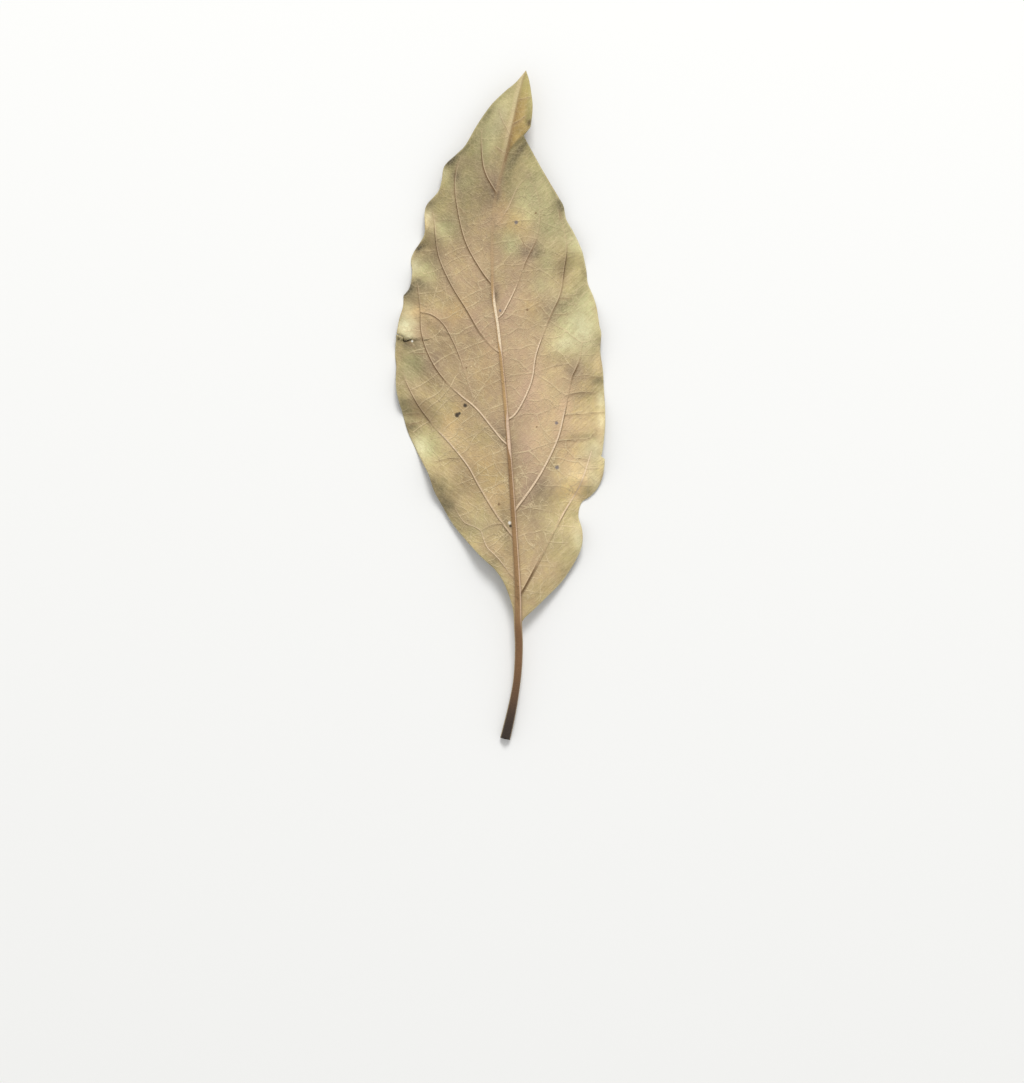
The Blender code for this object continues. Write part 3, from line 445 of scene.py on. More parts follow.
# Stretches along the leaf where its looks change, in millimetres from the blade's base
STALK_DARKENS = (-25, -9)
WRINKLES_END = (-6, 2)
HIDDEN_STALK_ENDS = (-3, 2)
STALK_ENDS = (-3, 4)
BLADE_STARTS = (0, 4)
THREADS_WEAKEN = (32, 50)
RIB_LIGHTS = (((36, 40), (44, 49)), ((59, 64), (71, 76)))
RIB_TANS = (38, 50)
RIGHT_NET_FADES = (40, 55)
LEFT_STROKES_FADE = (58, 72)
RIB_EDGE_FADES = (60, 80)
NET_FADES = (68, 102)
RIB_THINS = (72, 80)
RIB_WEAKENS = (76, 90)
OLIVE_GROWS = (84, 108)
STROKES_FADE = (92, 112)
GRAIN_GROWS = (94, 106)
FOLD_SHADE_STARTS = (97, 102)
RIM_FADES = (98, 108)
FOLD_LIGHT_STARTS = (102, 110)
FOLD_SHADE_FADES = (104, 112)
FOLD_GREENS = (110.5, 113.5)
TIP_GREENS = (115, 122)

# Soft steps across the blade, in shares of its half width, less than 0 on the left
MIDDLE = (-0.05, 0.05)
NET_MIDDLE = (-0.1, 0.1)
STROKES_MIDDLE = (-0.2, 0.2)
GRAIN_ACROSS = (-0.3, 0)
RIM_ACROSS = (-0.2, 0.9)
FOLD_LIGHTENS = (0, 0.6)
STROKES_ACROSS = (0.35, 0.85)
FOLD_OUTER = (0.4, 0.85)
OLIVE_ACROSS = (0.5, 1)

# Soft steps beside the lines, in millimetres
LINE_SIDE = (-0.05, 0.05)
THREAD_LINE = (0.03, 0.13)
THREAD_NEAR = (0.3, 0.42)
NET_CREST = (0.05, 0.16)
NET_SHADE_STARTS = (0.05, 0.15)
NET_SHADE_ENDS = (0.2, 0.4)
CREASE_LINE = (0.04, 0.17)
CREASE_LIGHT = (0.12, 0.4)
CREASE_SHADE = (0, 0.9)
VEIN_BESIDE = (0.2, 0.9)
VEIN_LINE_STARTS = (-0.08, 0.04)
VEIN_LINE_ENDS = (0.12, 0.28)
THIN_VEINS = (0.05, 0.2)
RIB_SIDE = (-0.1, 0.1)
FOLD_SIDE = (-0.12, 0.08)
FOLD_LIGHT = ((-1.3, -0.6), (-0.3, -0.05))
FOLD_SHADE = ((-0.25, 0), (0.3, 1.1))
RIM = (0.08, 0.42)
HIDDEN_VEINS = (0.1, 0.3)
HIDDEN_NET = (0.05, 0.2)

# Soft steps beside a side vein or the midrib, in shares of its half width
VEIN_BODY = (0.7, 1.1)
RIB_LIGHT = (0.5, 0.7)
RIB_BODY = (0.8, 1.02)
RIB_OUTLINE = ((0.85, 1), (1.15, 1.5))
RIB_BESIDE = (1, 3)
HIDDEN_RIB = (0.6, 1)

# Soft steps of a side vein's look
VEIN_FAINTEST = 0.5
FAINT_TONES = (0.05, 0.32)
PLAIN_TONES = (-0.25, 0)
CREAM_TONES = (0, 0.3)
NARROW_TONES = (0.3, 1)
BROWN_TONES = (0.5, 0.9)
TO_FAINT = (0.15, 0.5)
TO_BROWN = (0.5, 0.85)

# Soft steps of the zones' strength
YELLOW_IN_ROSE = (0.2, 0.9)
YELLOW_BY_VEINS = (0, 0.6)
PLAIN_IN_DARK = (0.3, 0.8)
PLAIN_IN_PALE = (0.2, 0.7)
TEAR_DARK = (0.85, 0.97)
RIM_IN_TEAR = (0, 0.3)
RIM_IN_DARK = (0.2, 0.6)

# Noises, (size in millimetres, detail, roughness), and soft steps of what they give
BLOTCHES = (5, 3, 0.6)
MOTTLE = (1.5, 4, 0.65)
GRAIN = (0.26, 2, 0.7)
STROKES = (1, 2, 0.55)
THREAD_PATCHES = (5, 2, 0.55)
NET_PATCHES = (3, 2, 0.55)
RIM_PATCHES = (4, 3, 0.55)
WRINKLES = (1, 3, 0.6)
HIDDEN_BLOTCHES = (6, 4, 0.6)
HIDDEN_GRAIN = (0.3, 2, 0.7)
WARP_DETAIL = 2.0
MIDDLE_OF_NOISE = (0.3, 0.7)
MOST_OF_NOISE = (0.2, 0.8)
GRAIN_DARK = (0.25, 0.75)
YELLOW_FLECKS = (0.38, 0.75)
CLEAR_PATCHES = (0.35, 0.6)
DARK_STROKES = (0.3, 0.5)
LIGHT_STROKES = (0.52, 0.7)
RIM_TINTS = (0.5, 0.65)
HIDDEN_TINTS = (0.35, 0.65)

# Fine meshes, (size, width of the lines, (size and amount of the warp)), and warps of the spots
MESHES = (0.8, 0.12, (0.5, 0.25))
HIDDEN_MESHES = (1.1, 0.09, (0.7, 0.3))
SPOT_WARP = (0.6, 0.3)
SPOT_SOFT = 0.45
SCORCH_WARP = (1.4, 1.2)
SCORCH_SOFT = 0.8

# Strokes and wrinkles: their turns on the left and the right, and (length, width)
STROKE_TURNS = (-36, 42)
STROKE_SIZE = (3.4, 0.36)
WRINKLE_SIZE = (2.6, 0.3)

# Heights of the finest relief, in millimetres
THREAD_HIGH = 0.05
MESH_HIGH = 0.035
STROKE_HIGH = 0.03
GRAIN_HIGH = 0.02
WRINKLE_HIGH = 0.16
HIDDEN_MESH_HIGH = -0.02
HIDDEN_GRAIN_HIGH = 0.012

# Gloss of the two faces
VEINED_ROUGH = (0.62, 0.82)
VEINED_SHINE = 0.35
SHEEN = 0.06
SHEEN_ROUGH = 0.6
HIDDEN_ROUGH = (0.42, 0.6)

# The photograph: its size, the pixel of the blade's base, and a pixel's real size in metres
PHOTO_WIDTH = 1024
PHOTO_HEIGHT = 1083
BASE_PIXEL = (518, 622)
PIXEL = 0.225 * MM

# Camera, light and floor, in metres and watts
SENSOR = 36.0
CAMERA_HEIGHT = 0.9
LEAF_LEVEL = 0.005
CLIP = (0.05, 20)
FLOOR_SIZE = 6.0
FLOOR_ROUGH = 0.9
FLOOR_SHINE = 0.1
SKY_STRENGTH = 0.62
KEY_PLACE = (0.15, 1.15, 1.2)
KEY_SIZE = 0.6
KEY_POWER = 19.0


def smooth_curve(points, step):
    """Points about step apart on a smooth curve through the given ones."""
    knots = np.asarray(points, float)
    padded = np.vstack((2 * knots[0] - knots[1], knots, 2 * knots[-1] - knots[-2]))
    dense = []
    for a, b, c, d in zip(padded, padded[1:], padded[2:], padded[3:]):
        for t in np.linspace(0, 1, CURVE_STEPS, endpoint=False):
            dense.append(0.5 * (2 * b + (c - a) * t + (2 * a - 5 * b + 4 * c - d) * t ** 2
                                + (3 * b - a - 3 * c + d) * t ** 3))
    dense = np.vstack((dense, knots[-1]))
    along = np.concatenate(([0], np.cumsum(np.linalg.norm(np.diff(dense, axis=0), axis=1))))
    places = np.linspace(0, along[-1], max(2, int(round(along[-1] / step)) + 1))
    return np.column_stack([np.interp(places, along, dense[:, i]) for i in range(2)])


def eased(value, low, high):
    """0 below low, 1 above high, with a smooth rise between them."""
    t = np.clip((value - low) / (high - low), 0, 1)
    return t * t * (3 - 2 * t)


def through(table, place, column=1):
    """A smooth curve through the (place, value, ...) rows of a table."""
    rows = np.asarray(table, float)
    i = np.clip(np.searchsorted(rows[:, 0], place) - 1, 0, len(rows) - 2)
    share = eased(place, rows[i, 0], rows[i + 1, 0])
    return rows[i, column] * (1 - share) + rows[i + 1, column] * share


def straight_through(table, place, column=1):
    """Straight lines through the (place, value, ...) rows of a table."""
    rows = np.asarray(table, float)
    return np.interp(place, rows[:, 0], rows[:, column])


def distance_to(places, line):
    """How far each place lies from an open line, and how far along the line, from 0 to 1."""
    starts, ends = line[:-1], line[1:]
    spans = ends - starts
    lengths = np.maximum((spans ** 2).sum(1), TINY)
    gaps = places[:, None, :] - starts[None]
    t = np.clip((gaps * spans[None]).sum(2) / lengths, 0, 1)
    away = np.linalg.norm(gaps - t[..., None] * spans[None], axis=2)
    nearest = away.argmin(1)
    rows = np.arange(len(places))
    share = (nearest + t[rows, nearest]) / len(starts)
    return away[rows, nearest], share


def nearest_of(places, spot):
    """The one of the places that lies nearest to a spot."""
    return places[np.linalg.norm(places - spot, axis=1).argmin()]


def inside(places, loop):
    """True for each place inside a closed loop of points."""
    x, y = places[:, 0, None], places[:, 1, None]
    ax, ay = loop[:, 0], loop[:, 1]
    bx, by = np.roll(ax, -1), np.roll(ay, -1)
    crosses = (ay > y) != (by > y)
    rise = np.where(by == ay, TINY, by - ay)
    hits = crosses & (x < (bx - ax) * (y - ay) / rise + ax)
    return hits.sum(1) % 2 == 1


def edge_line(stretches, step):
    """One side of the blade's edge, from the tip down to the stalk."""
    parts = [smooth_curve(points, step) for points in stretches]
    return np.vstack([part[:-1] for part in parts] + [parts[-1][-1:]])


class Leaf:
    """The leaf's plan and the height of its surfaces at any place of the plan."""

    def __init__(self):
        self.midrib = smooth_curve(MIDRIB, RIB_STEP)
        self.left = edge_line(LEFT_EDGE, EDGE_STEP)
        self.right = edge_line(RIGHT_EDGE, EDGE_STEP)
        self.outline = self.closed_outline()
        self.pleat = smooth_curve(PLEAT, PLEAT_STEP)
        self.veins = self.side_veins()
        self.net = self.net_veins()

    def stalk_sides(self):
        """The stalk's two edges, from the blade down to the cut end."""
        stalk = self.midrib[self.midrib[:, 1] < STALK_TOP][::-1]
        along = np.gradient(stalk, axis=0)
        across = np.column_stack((along[:, 1], -along[:, 0]))
        across /= np.linalg.norm(across, axis=1)[:, None]
        half = straight_through(RIB_PROFILE, stalk[:, 1])[:, None]
        return stalk + across * half, stalk - across * half

    def closed_outline(self):
        """The whole plan outline as a loop: down the left side, round the stalk's end and up."""
        one, other = self.stalk_sides()
        left, right = (one, other) if one[0, 0] < other[0, 0] else (other, one)
        return np.vstack((self.left, left, right[::-1], self.right[:0:-1]))

    def joined(self, lines, roots, clear, step):
        """Veins that start on an earlier one and end short of the edge or on the next one met."""
        rim = np.vstack((self.outline, self.outline[:1]))
        kept = list(roots)
        for line in lines:
            gap = np.min([distance_to(line, other)[0] for other in kept], axis=0)
            ended = np.flatnonzero(distance_to(line, rim)[0] < CLEAR_OF_EDGE)
            left = np.flatnonzero(gap > clear)
            if not len(left):
                continue
            met = np.flatnonzero((gap < clear) & (np.arange(len(line)) > left[0]))
            stop = min([len(line)] + ended[:1].tolist() + met[:1].tolist())
            ends_on_other = len(met) > 0 and met[0] == stop
            if stop - left[0] < SHORTEST_STRETCH / MARCH:
                continue
            taken = np.vstack(kept)
            path = [nearest_of(taken, line[0])] + list(line[left[0]:stop])
            if ends_on_other:
                path.append(nearest_of(taken, line[stop]))
            kept.append(smooth_curve(path, step))
        return kept[len(roots):]

    def side_veins(self):
        """The side veins, each joined to the midrib or to the vein that it starts on."""
        lines = [smooth_curve(points, MARCH) for points in LEFT_VEINS + RIGHT_VEINS]
        trunk = self.midrib[self.midrib[:, 1] > VEINS_FROM]
        return self.joined(lines, [trunk], CLEAR_OF_VEIN, VEIN_STEP)

    def net_veins(self):
        """Short wandering veins that run across from the midrib and from each side vein."""
        rng = np.random.default_rng(NET_SEED)
        trunks = [self.midrib[self.midrib[:, 1] > NET_FROM]] + self.veins
        lines = []
        for i, trunk in enumerate(trunks):
            others = [other for j, other in enumerate(trunks) if j != i]
            span = np.linalg.norm(np.diff(trunk, axis=0), axis=1).sum()
            count = max(1, int(span / NET_SPACING))
            for k in range(2 * count):
                share = (k // 2 + rng.uniform(*NET_PLACES)) / count
                at = min(len(trunk) - 2, max(1, int(share * (len(trunk) - 1))))
                heading = trunk[at + 1] - trunk[at - 1]
                heading *= np.sign(heading[1]) / np.linalg.norm(heading)
                right_half = trunk[at, 0] > np.interp(trunk[at, 1], *self.midrib.T[::-1])
                side = 1 if k % 2 else -1
                lean = RIB_NET_LEAN[k % 2] if i == 0 else VEIN_NET_LEAN[int(right_half)]
                way = side * np.array((heading[1], -heading[0])) + lean * heading
                line = self.net_line(trunk[at], way / np.linalg.norm(way), others, rng)
                if line is not None:
                    lines.append(line)
        return self.joined(lines, trunks, CLEAR_OF_NET, NET_STEP)

    def net_line(self, start, way, others, rng):
        """A vein of the net from start along way, to the first other vein or nearly to the edge."""
        reach = np.arange(0.0, NET_WIDEST_GAP, MARCH)
        ray = start + reach[:, None] * way
        gaps = np.min([distance_to(ray, other)[0] for other in others], axis=0)
        rim = distance_to(ray, np.vstack((self.outline, self.outline[:1])))[0]
        met = np.flatnonzero((gaps < NET_MEETS[0]) & (reach > NET_MEETS[1]))
        edged = np.flatnonzero((rim < NET_NEARS_EDGE[0]) & (reach > NET_NEARS_EDGE[1]))
        far = met[0] if len(met) else len(reach)
        if len(edged) and edged[0] < far:
            far = min(edged[0], int(NET_TO_EDGE / MARCH))
        if far == len(reach) or reach[far] < NET_NARROWEST_GAP:
            return None
        knots = int(reach[far] / NET_KNOT_STEP) + 3
        line = start + np.linspace(0, 1, knots)[:, None] * (ray[far] - start)
        across = np.array((way[1], -way[0]))
        line[1:-1] += across * rng.uniform(-NET_WANDER, NET_WANDER, (knots - 2, 1))
        return smooth_curve(line, MARCH)

    def across(self, places):
        """Each place's gap from the midrib's line in plan, its side (-1 or 1) and the half width."""
        x, y = places[:, 0], places[:, 1]
        centre = np.interp(y, self.midrib[:, 1], self.midrib[:, 0])
        side = np.where(x < centre, -1.0, 1.0)
        left = np.interp(y, self.left[::-1, 1], self.left[::-1, 0])
        right = np.interp(y, self.right[::-1, 1], self.right[::-1, 0])
        half = np.where(side < 0, centre - left, right - centre)
        return np.abs(x - centre), side, np.maximum(half, STALK_HALF)

    def middle(self, places):
        """Height of the blade's middle surface, before ribs and veins are raised on it."""
        y = places[:, 1]
        gap, side, half = self.across(places)
        share = np.clip(gap / half, 0, WAVE_REACH[1])
        height = through(SPINE, y)
        height -= EDGE_DROP * share ** DROP_POWER * (half / WIDEST_HALF) ** WIDTH_POWER
        at_edge = y + WAVE_SLANT * (half - gap)
        wave = np.where(side < 0, through(LEFT_WAVES, at_edge), through(RIGHT_WAVES, at_edge))
        height += wave * eased(share, *WAVE_REACH) * eased(y, 0, WAVE_START)
        in_blade = eased(half, *BLADE_HALVES)
        trunk_gap = np.min([distance_to(places, vein)[0] for vein in self.veins], axis=0)
        trunk_gap = np.minimum(trunk_gap, gap)
        height += in_blade * QUILT_RISE * (np.exp(-(trunk_gap / QUILT_REACH) ** 2) - 0.5)
        for rise, length, turn, phase in CRUMPLES:
            along = places[:, 0] * np.cos(turn) + y * np.sin(turn)
            height += in_blade * rise * np.sin(2 * np.pi * along / length + phase)
        height += self.pleat_rise(places, gap, side) + self.tear_rise(places)
        for spot in REST_SPOTS:
            away = np.linalg.norm(places - np.array(spot), axis=1)
            pull = 1 - eased(away, REST_RADIUS, REST_BLEND)
            height = height * (1 - pull) + pull * BLADE_THICK / 2
        return height

    def beyond_pleat(self, places):
        """How far each place lies beyond the pleat's line, towards the tip."""
        line = self.pleat[::-1]
        above = places[:, 1] > np.interp(places[:, 0], line[:, 0], line[:, 1])
        return distance_to(places, line)[0] * np.where(above, 1, -1)

    def pleat_rise(self, places, gap, side):
        """How far the tip's right half stands up beyond the pleat's line."""
        step = eased(self.beyond_pleat(places), -PLEAT_HALF, PLEAT_HALF)
        lost = eased(places[:, 1], *PLEAT_FADES) * (1 - PLEAT_LEFT_AT_TIP)
        size = PLEAT_RISE * eased(places[:, 1], *PLEAT_GROWS) * (1 - lost)
        return np.where(side > 0, size * step * np.clip(gap / PLEAT_WIDTH, 0, PLEAT_MOST), 0.0)

    def tear_rise(self, places):
        """How far the torn flap stands above the blade next to it."""
        size = TEAR_RISE * (1 - eased(places[:, 0], TEAR_GROWS[1], TEAR_GROWS[0]))
        return size * eased(places[:, 1], *TEAR_LINE) * (1 - eased(places[:, 1], *TEAR_FADES))


def offset(line, gap):
    """A line moved sideways by gap, a number for each of its points."""
    along = np.gradient(line, axis=0)
    across = np.column_stack((along[:, 1], -along[:, 0]))
    across /= np.linalg.norm(across, axis=1)[:, None]
    return line + across * np.asarray(gap)[:, None]


def vein_lines(vein, half):
    """A vein's crest and its two foot lines."""
    return [vein, offset(vein, half)[1:-1], offset(vein, -half)[1:-1]]


class FineLeaf(Leaf):
    """The same leaf with true, finer veins and a thinner blade, for the visible surface."""

    def __init__(self):
        super().__init__()
        self.centre = (self.outline.min(0) + self.outline.max(0)) / 2
        self.midrib = smooth_curve(MIDRIB, FINE_RIB_STEP)
        self.left = edge_line(LEFT_EDGE, FINE_EDGE_STEP)
        self.right = edge_line(RIGHT_EDGE, FINE_EDGE_STEP)
        self.outline = self.closed_outline()
        self.rim = np.vstack((self.outline, self.outline[:1]))
        self.pleat = smooth_curve(PLEAT, FINE_VEIN_STEP)
        self.veins = [smooth_curve(vein, FINE_VEIN_STEP) for vein in self.veins]
        self.net = [smooth_curve(vein, FINE_VEIN_STEP) for vein in self.net]
        self.threads = self.thread_lines()

    def thread_lines(self):
        """The finest veins: short ones off all the others, which wander on until they meet one."""
        rng = np.random.default_rng(THREAD_SEED)
        blade = self.midrib[self.midrib[:, 1] > NET_FROM]
        trunks = [smooth_curve(line, THREAD_STEP) for line in [blade] + self.veins + self.net]
        taken, threads = np.vstack(trunks), []
        steps = int(THREAD_LONGEST / THREAD_STEP)
        every = int(THREAD_SPACING / THREAD_STEP)
        for trunk in trunks:
            low = trunk[:, 1] < THREAD_TOP
            for at in range(rng.integers(2, every), np.count_nonzero(low) - 2, every):
                heading = trunk[at + 1] - trunk[at - 1]
                for side in (-90, 90):
                    turns = side + rng.uniform(-THREAD_SWING, THREAD_SWING)
                    turns = turns + np.cumsum(rng.normal(0, THREAD_WANDER, steps))
                    turns = np.radians(turns) + math.atan2(heading[1], heading[0])
                    walk = np.column_stack((np.cos(turns), np.sin(turns))) * THREAD_STEP
                    walk = trunk[at] + np.vstack(((0, 0), np.cumsum(walk, axis=0)))
                    gap = np.linalg.norm(walk[:, None] - taken[None], axis=2).min(1)
                    gap = np.minimum(gap, distance_to(walk, self.rim)[0] - THREAD_STEP)
                    met = np.flatnonzero(gap[THREAD_CLEAR:] < THREAD_MEETS)
                    if len(met):
                        end = met[0] + THREAD_CLEAR + 1
                    else:
                        end = int(steps * rng.uniform(*THREAD_SHARE))
                    if end > THREAD_SHORTEST:
                        threads.append(walk[:end])
                        taken = np.vstack((taken, walk[:end]))
        return threads

    def guide_lines(self):
        """Lines that the fine mesh follows: the outline, midrib and stalk, veins and net."""
        rib = self.midrib[1:-1]
        half = straight_through(FINE_RIB, rib[:, 1])
        lines = [self.rim, self.midrib[:-1], self.pleat]
        for side in (-1, 1):
            lines.append(offset(self.pleat, np.full(len(self.pleat), side * PLEAT_HALF))[1:-1])
        for share, last in RIB_LINES:
            chosen = rib[:, 1] < last
            if share == 1:
                chosen &= rib[:, 1] > RIB_FOOT_SPAN[0]
            for side in (-1, 1):
                lines.append(offset(rib, side * share * half)[chosen])
        for vein, (*_, size) in zip(self.veins, VEIN_LOOKS):
            share = np.linspace(0, 1, len(vein))
            lines += vein_lines(vein, size * straight_through(FINE_VEIN, share))
        for vein in self.net:
            lines += vein_lines(vein, np.full(len(vein), FINE_NET_HALF))
        return lines

    def inner_points(self):
        """Rings along the rim and a staggered grid, as places inside the outline."""
        low, high = self.outline.min(0), self.outline.max(0)
        grid = []
        for row, y in enumerate(np.arange(low[1], high[1], FINE_FILL * math.sqrt(0.75))):
            x = np.arange(low[0] + (row % 2) * FINE_FILL / 2, high[0], FINE_FILL)
            grid.append(np.column_stack((x, np.full(len(x), y))))
        grid = in_parts(lambda part: part[inside(part, self.outline)], np.vstack(grid))
        gap = in_parts(lambda part: distance_to(part, self.rim)[0], grid)
        grid = grid[gap > FINE_CLEAR_OF_EDGE]
        for inset in RIM_RINGS:
            for side in (-1, 1):
                ring = offset(self.rim, np.full(len(self.rim), side * inset))
                ring = ring[inside(ring, self.outline)]
                ring = ring[distance_to(ring, self.rim)[0] > RING_CLEAR * inset]
                grid = np.vstack((ring, grid))
        return grid

    def plan_mesh(self):
        """The plan split finely into triangles along the outline, ribs and veins."""
        points, edges, index = [], [], {}

        def point(place):
            key = (round(float(place[0]), 3), round(float(place[1]), 3))
            if key not in index:
                index[key] = len(points)
                points.append(key)
            return index[key]

        for line in self.guide_lines():
            chain = [point(place) for place in line]
            edges += [(a, b) for a, b in zip(chain, chain[1:]) if a != b]
        tree = KDTree(len(points))
        for i, place in enumerate(points):
            tree.insert((place[0], place[1], 0), i)
        tree.balance()
        for place in self.inner_points():
            if tree.find((place[0], place[1], 0))[2] > FINE_CLEAR:
                point(place)
        result = delaunay_2d_cdt(points, edges, [], 0, CDT_EPSILON, False)
        plan = np.array([tuple(place) for place in result[0]])
        faces = np.array([tuple(face) for face in result[2]])
        faces = faces[in_parts(lambda part: inside(part, self.outline), plan[faces].mean(1))]
        used, renumbered = np.unique(faces, return_inverse=True)
        return plan[used], renumbered.reshape(-1, 3)

    def values(self, plan):
        """What the mesh and its materials need to know at each place of the plan."""
        gap, side, half = self.across(plan)
        rib_gap = distance_to(plan, self.midrib)[0]
        rib_half = straight_through(FINE_RIB, plan[:, 1], 1)
        rib_high = straight_through(FINE_RIB, plan[:, 1], 2)
        vein_side, vein_half, tone, rise = self.near_veins(plan)
        net_gap, net_side = self.near_lines(plan, self.net)
        creases = [smooth_curve(line, FINE_VEIN_STEP) for line in CREASES]
        crease_gap, crease_side = self.near_lines(plan, creases)
        thread_gap, thread_side = self.near_lines(plan, self.threads)
        value = {
            "along": plan[:, 1],
            "share": np.clip(gap / half, 0, 1) * side,
            "edge_gap": in_parts(lambda part: distance_to(part, self.rim)[0], plan),
            "rib_gap": rib_gap * side,
            "rib_half": rib_half,
            "rib_rise": rib_high * np.sqrt(np.clip(1 - (rib_gap / rib_half) ** 2, 0, 1)),
            "vein_gap": np.abs(vein_side),
            "vein_side": vein_side,
            "vein_half": vein_half,
            "vein_tone": tone,
            "vein_rise": rise,
            "crease_gap": crease_gap,
            "crease_side": crease_side,
            "net_gap": net_gap,
            "net_side": net_side,
            "thread_gap": thread_gap,
            "thread_side": thread_side,
            "light": 1 + lightened(plan),
        }
        for name, table in ZONES.items():
            value[name] = zones(plan, table)
        value["fold"] = eased(self.beyond_pleat(plan), -PLEAT_HALF, PLEAT_HALF)
        value["fold"] *= rib_gap * side > -FOLD_OVERLAP
        value["fold"] *= plan[:, 1] > PLEAT_GROWS[0]
        value["torn"] = self.below_tear(plan)
        return value

    def below_tear(self, plan):
        """Strength of the painted shadow that the torn flap casts: 1 just below the torn edge, less by
        the margin, and 0 on the flap and away from it.
        """
        line = np.array(TEAR)
        below = plan[:, 1] < np.interp(plan[:, 0], line[:, 0], line[:, 1])
        shade = np.clip(1 - distance_to(plan, line)[0] / TEAR_SHADE, 0, 1)
        return below * shade * np.interp(plan[:, 0], TEAR_SHADE_GROWS, TEAR_SHADES)

    def near_veins(self, plan):
        """Distance to the nearest side vein, its half width and tone there, and the veins' height."""
        gap, half = np.full(len(plan), float(VEIN_HALO)), np.full(len(plan), FINE_VEIN[0][1])
        tone, rise = np.zeros(len(plan)), np.zeros(len(plan))
        for line, (*tones, size) in zip(self.veins, VEIN_LOOKS):
            away, share = close_distance(plan, line, VEIN_HALO)
            width = size * straight_through(FINE_VEIN, share, 1)
            look = np.interp(share, np.linspace(0, 1, len(tones)), tones)
            lower = 1 - (1 - BROWN_VEIN_HEIGHT) * np.abs(look)
            high = size * straight_through(FINE_VEIN, share, 2) * lower
            level = np.clip(1 - np.abs(away) / width, 0, 1)
            rise = np.maximum(rise, high * np.sin(level * math.pi / 2))
            closer = np.abs(away) < np.abs(gap)
            tone = np.where(closer, look, tone)
            half = np.where(closer, width, half)
            gap = np.where(closer, away, gap)
        return gap, half, tone, rise

    def near_lines(self, plan, lines):
        """Distance to the nearest of the lines: plain, and less than 0 on its lit side."""
        side = np.full(len(plan), float(NET_HALO))
        for line in lines:
            away = close_distance(plan, line, NET_HALO)[0]
            side = np.where(np.abs(away) < np.abs(side), away, side)
        return np.abs(side), side


def in_parts(work, places, size=PART_SIZE):
    """Runs work on the places a few at a time, which keeps its arrays small."""
    count = max(1, len(places) // size)
    return np.concatenate([work(part) for part in np.array_split(places, count)])


def close_distance(places, line, reach):
    """distance_to for the places near a line, more than 0 on its shaded side and less beyond it.

    Every other place counts as reach away.
    """
    gap, share = np.full(len(places), float(reach)), np.zeros(len(places))
    near = ((places > line.min(0) - reach) & (places < line.max(0) + reach)).all(1)
    if near.any():
        away, along = distance_to(places[near], line)
        steps = np.linspace(0, 1, len(line))
        foot = np.column_stack([np.interp(along, steps, line[:, i]) for i in range(2)])
        inward = 1 if line[:, 0].mean() < LEFT_OF else -1
        shaded = (foot - places[near]) @ (inward * LIGHT_WAY[0], LIGHT_WAY[1]) > 0
        gap[near] = np.where(shaded, 1, -1) * np.minimum(away, reach)
        share[near] = along
    return gap, share


def slope_factor(plan, faces, height):
    """1 over the upward part of the surface's normal at each point, for an even thickness."""
    places = np.column_stack((plan, height))
    corners = places[faces]
    normals = np.cross(corners[:, 1] - corners[:, 0], corners[:, 2] - corners[:, 0])
    total = np.zeros_like(places)
    for corner in range(3):
        np.add.at(total, faces[:, corner], normals)
    upward = np.abs(total[:, 2]) / np.maximum(np.linalg.norm(total, axis=1), TINY)
    return 1 / np.clip(upward, STEEPEST, 1)


def zone(plan, x, y, across, along, turn):
    """1 at the middle of an oval zone, with a soft fall to 0 round it."""
    turn = math.radians(turn)
    gap = plan - np.array((x, y))
    u = (gap[:, 0] * math.cos(turn) + gap[:, 1] * math.sin(turn)) / across
    v = (gap[:, 1] * math.cos(turn) - gap[:, 0] * math.sin(turn)) / along
    return np.exp(-(u ** 2 + v ** 2) / ZONE_SOFT)


def zones(plan, table):
    """How strongly each place lies in the zones of a table, from 0 to 1."""
    left = np.ones(len(plan))
    for *shape, strength in table:
        left *= 1 - strength * zone(plan, *shape)
    return 1 - left


def lightened(plan):
    """Painted light and shade, partly the blade's own tone: how much lighter, or less than 0, darker,
    each place is than the colours say.
    """
    return sum(change * zone(plan, *shape) for *shape, change in LIGHT_ZONES)


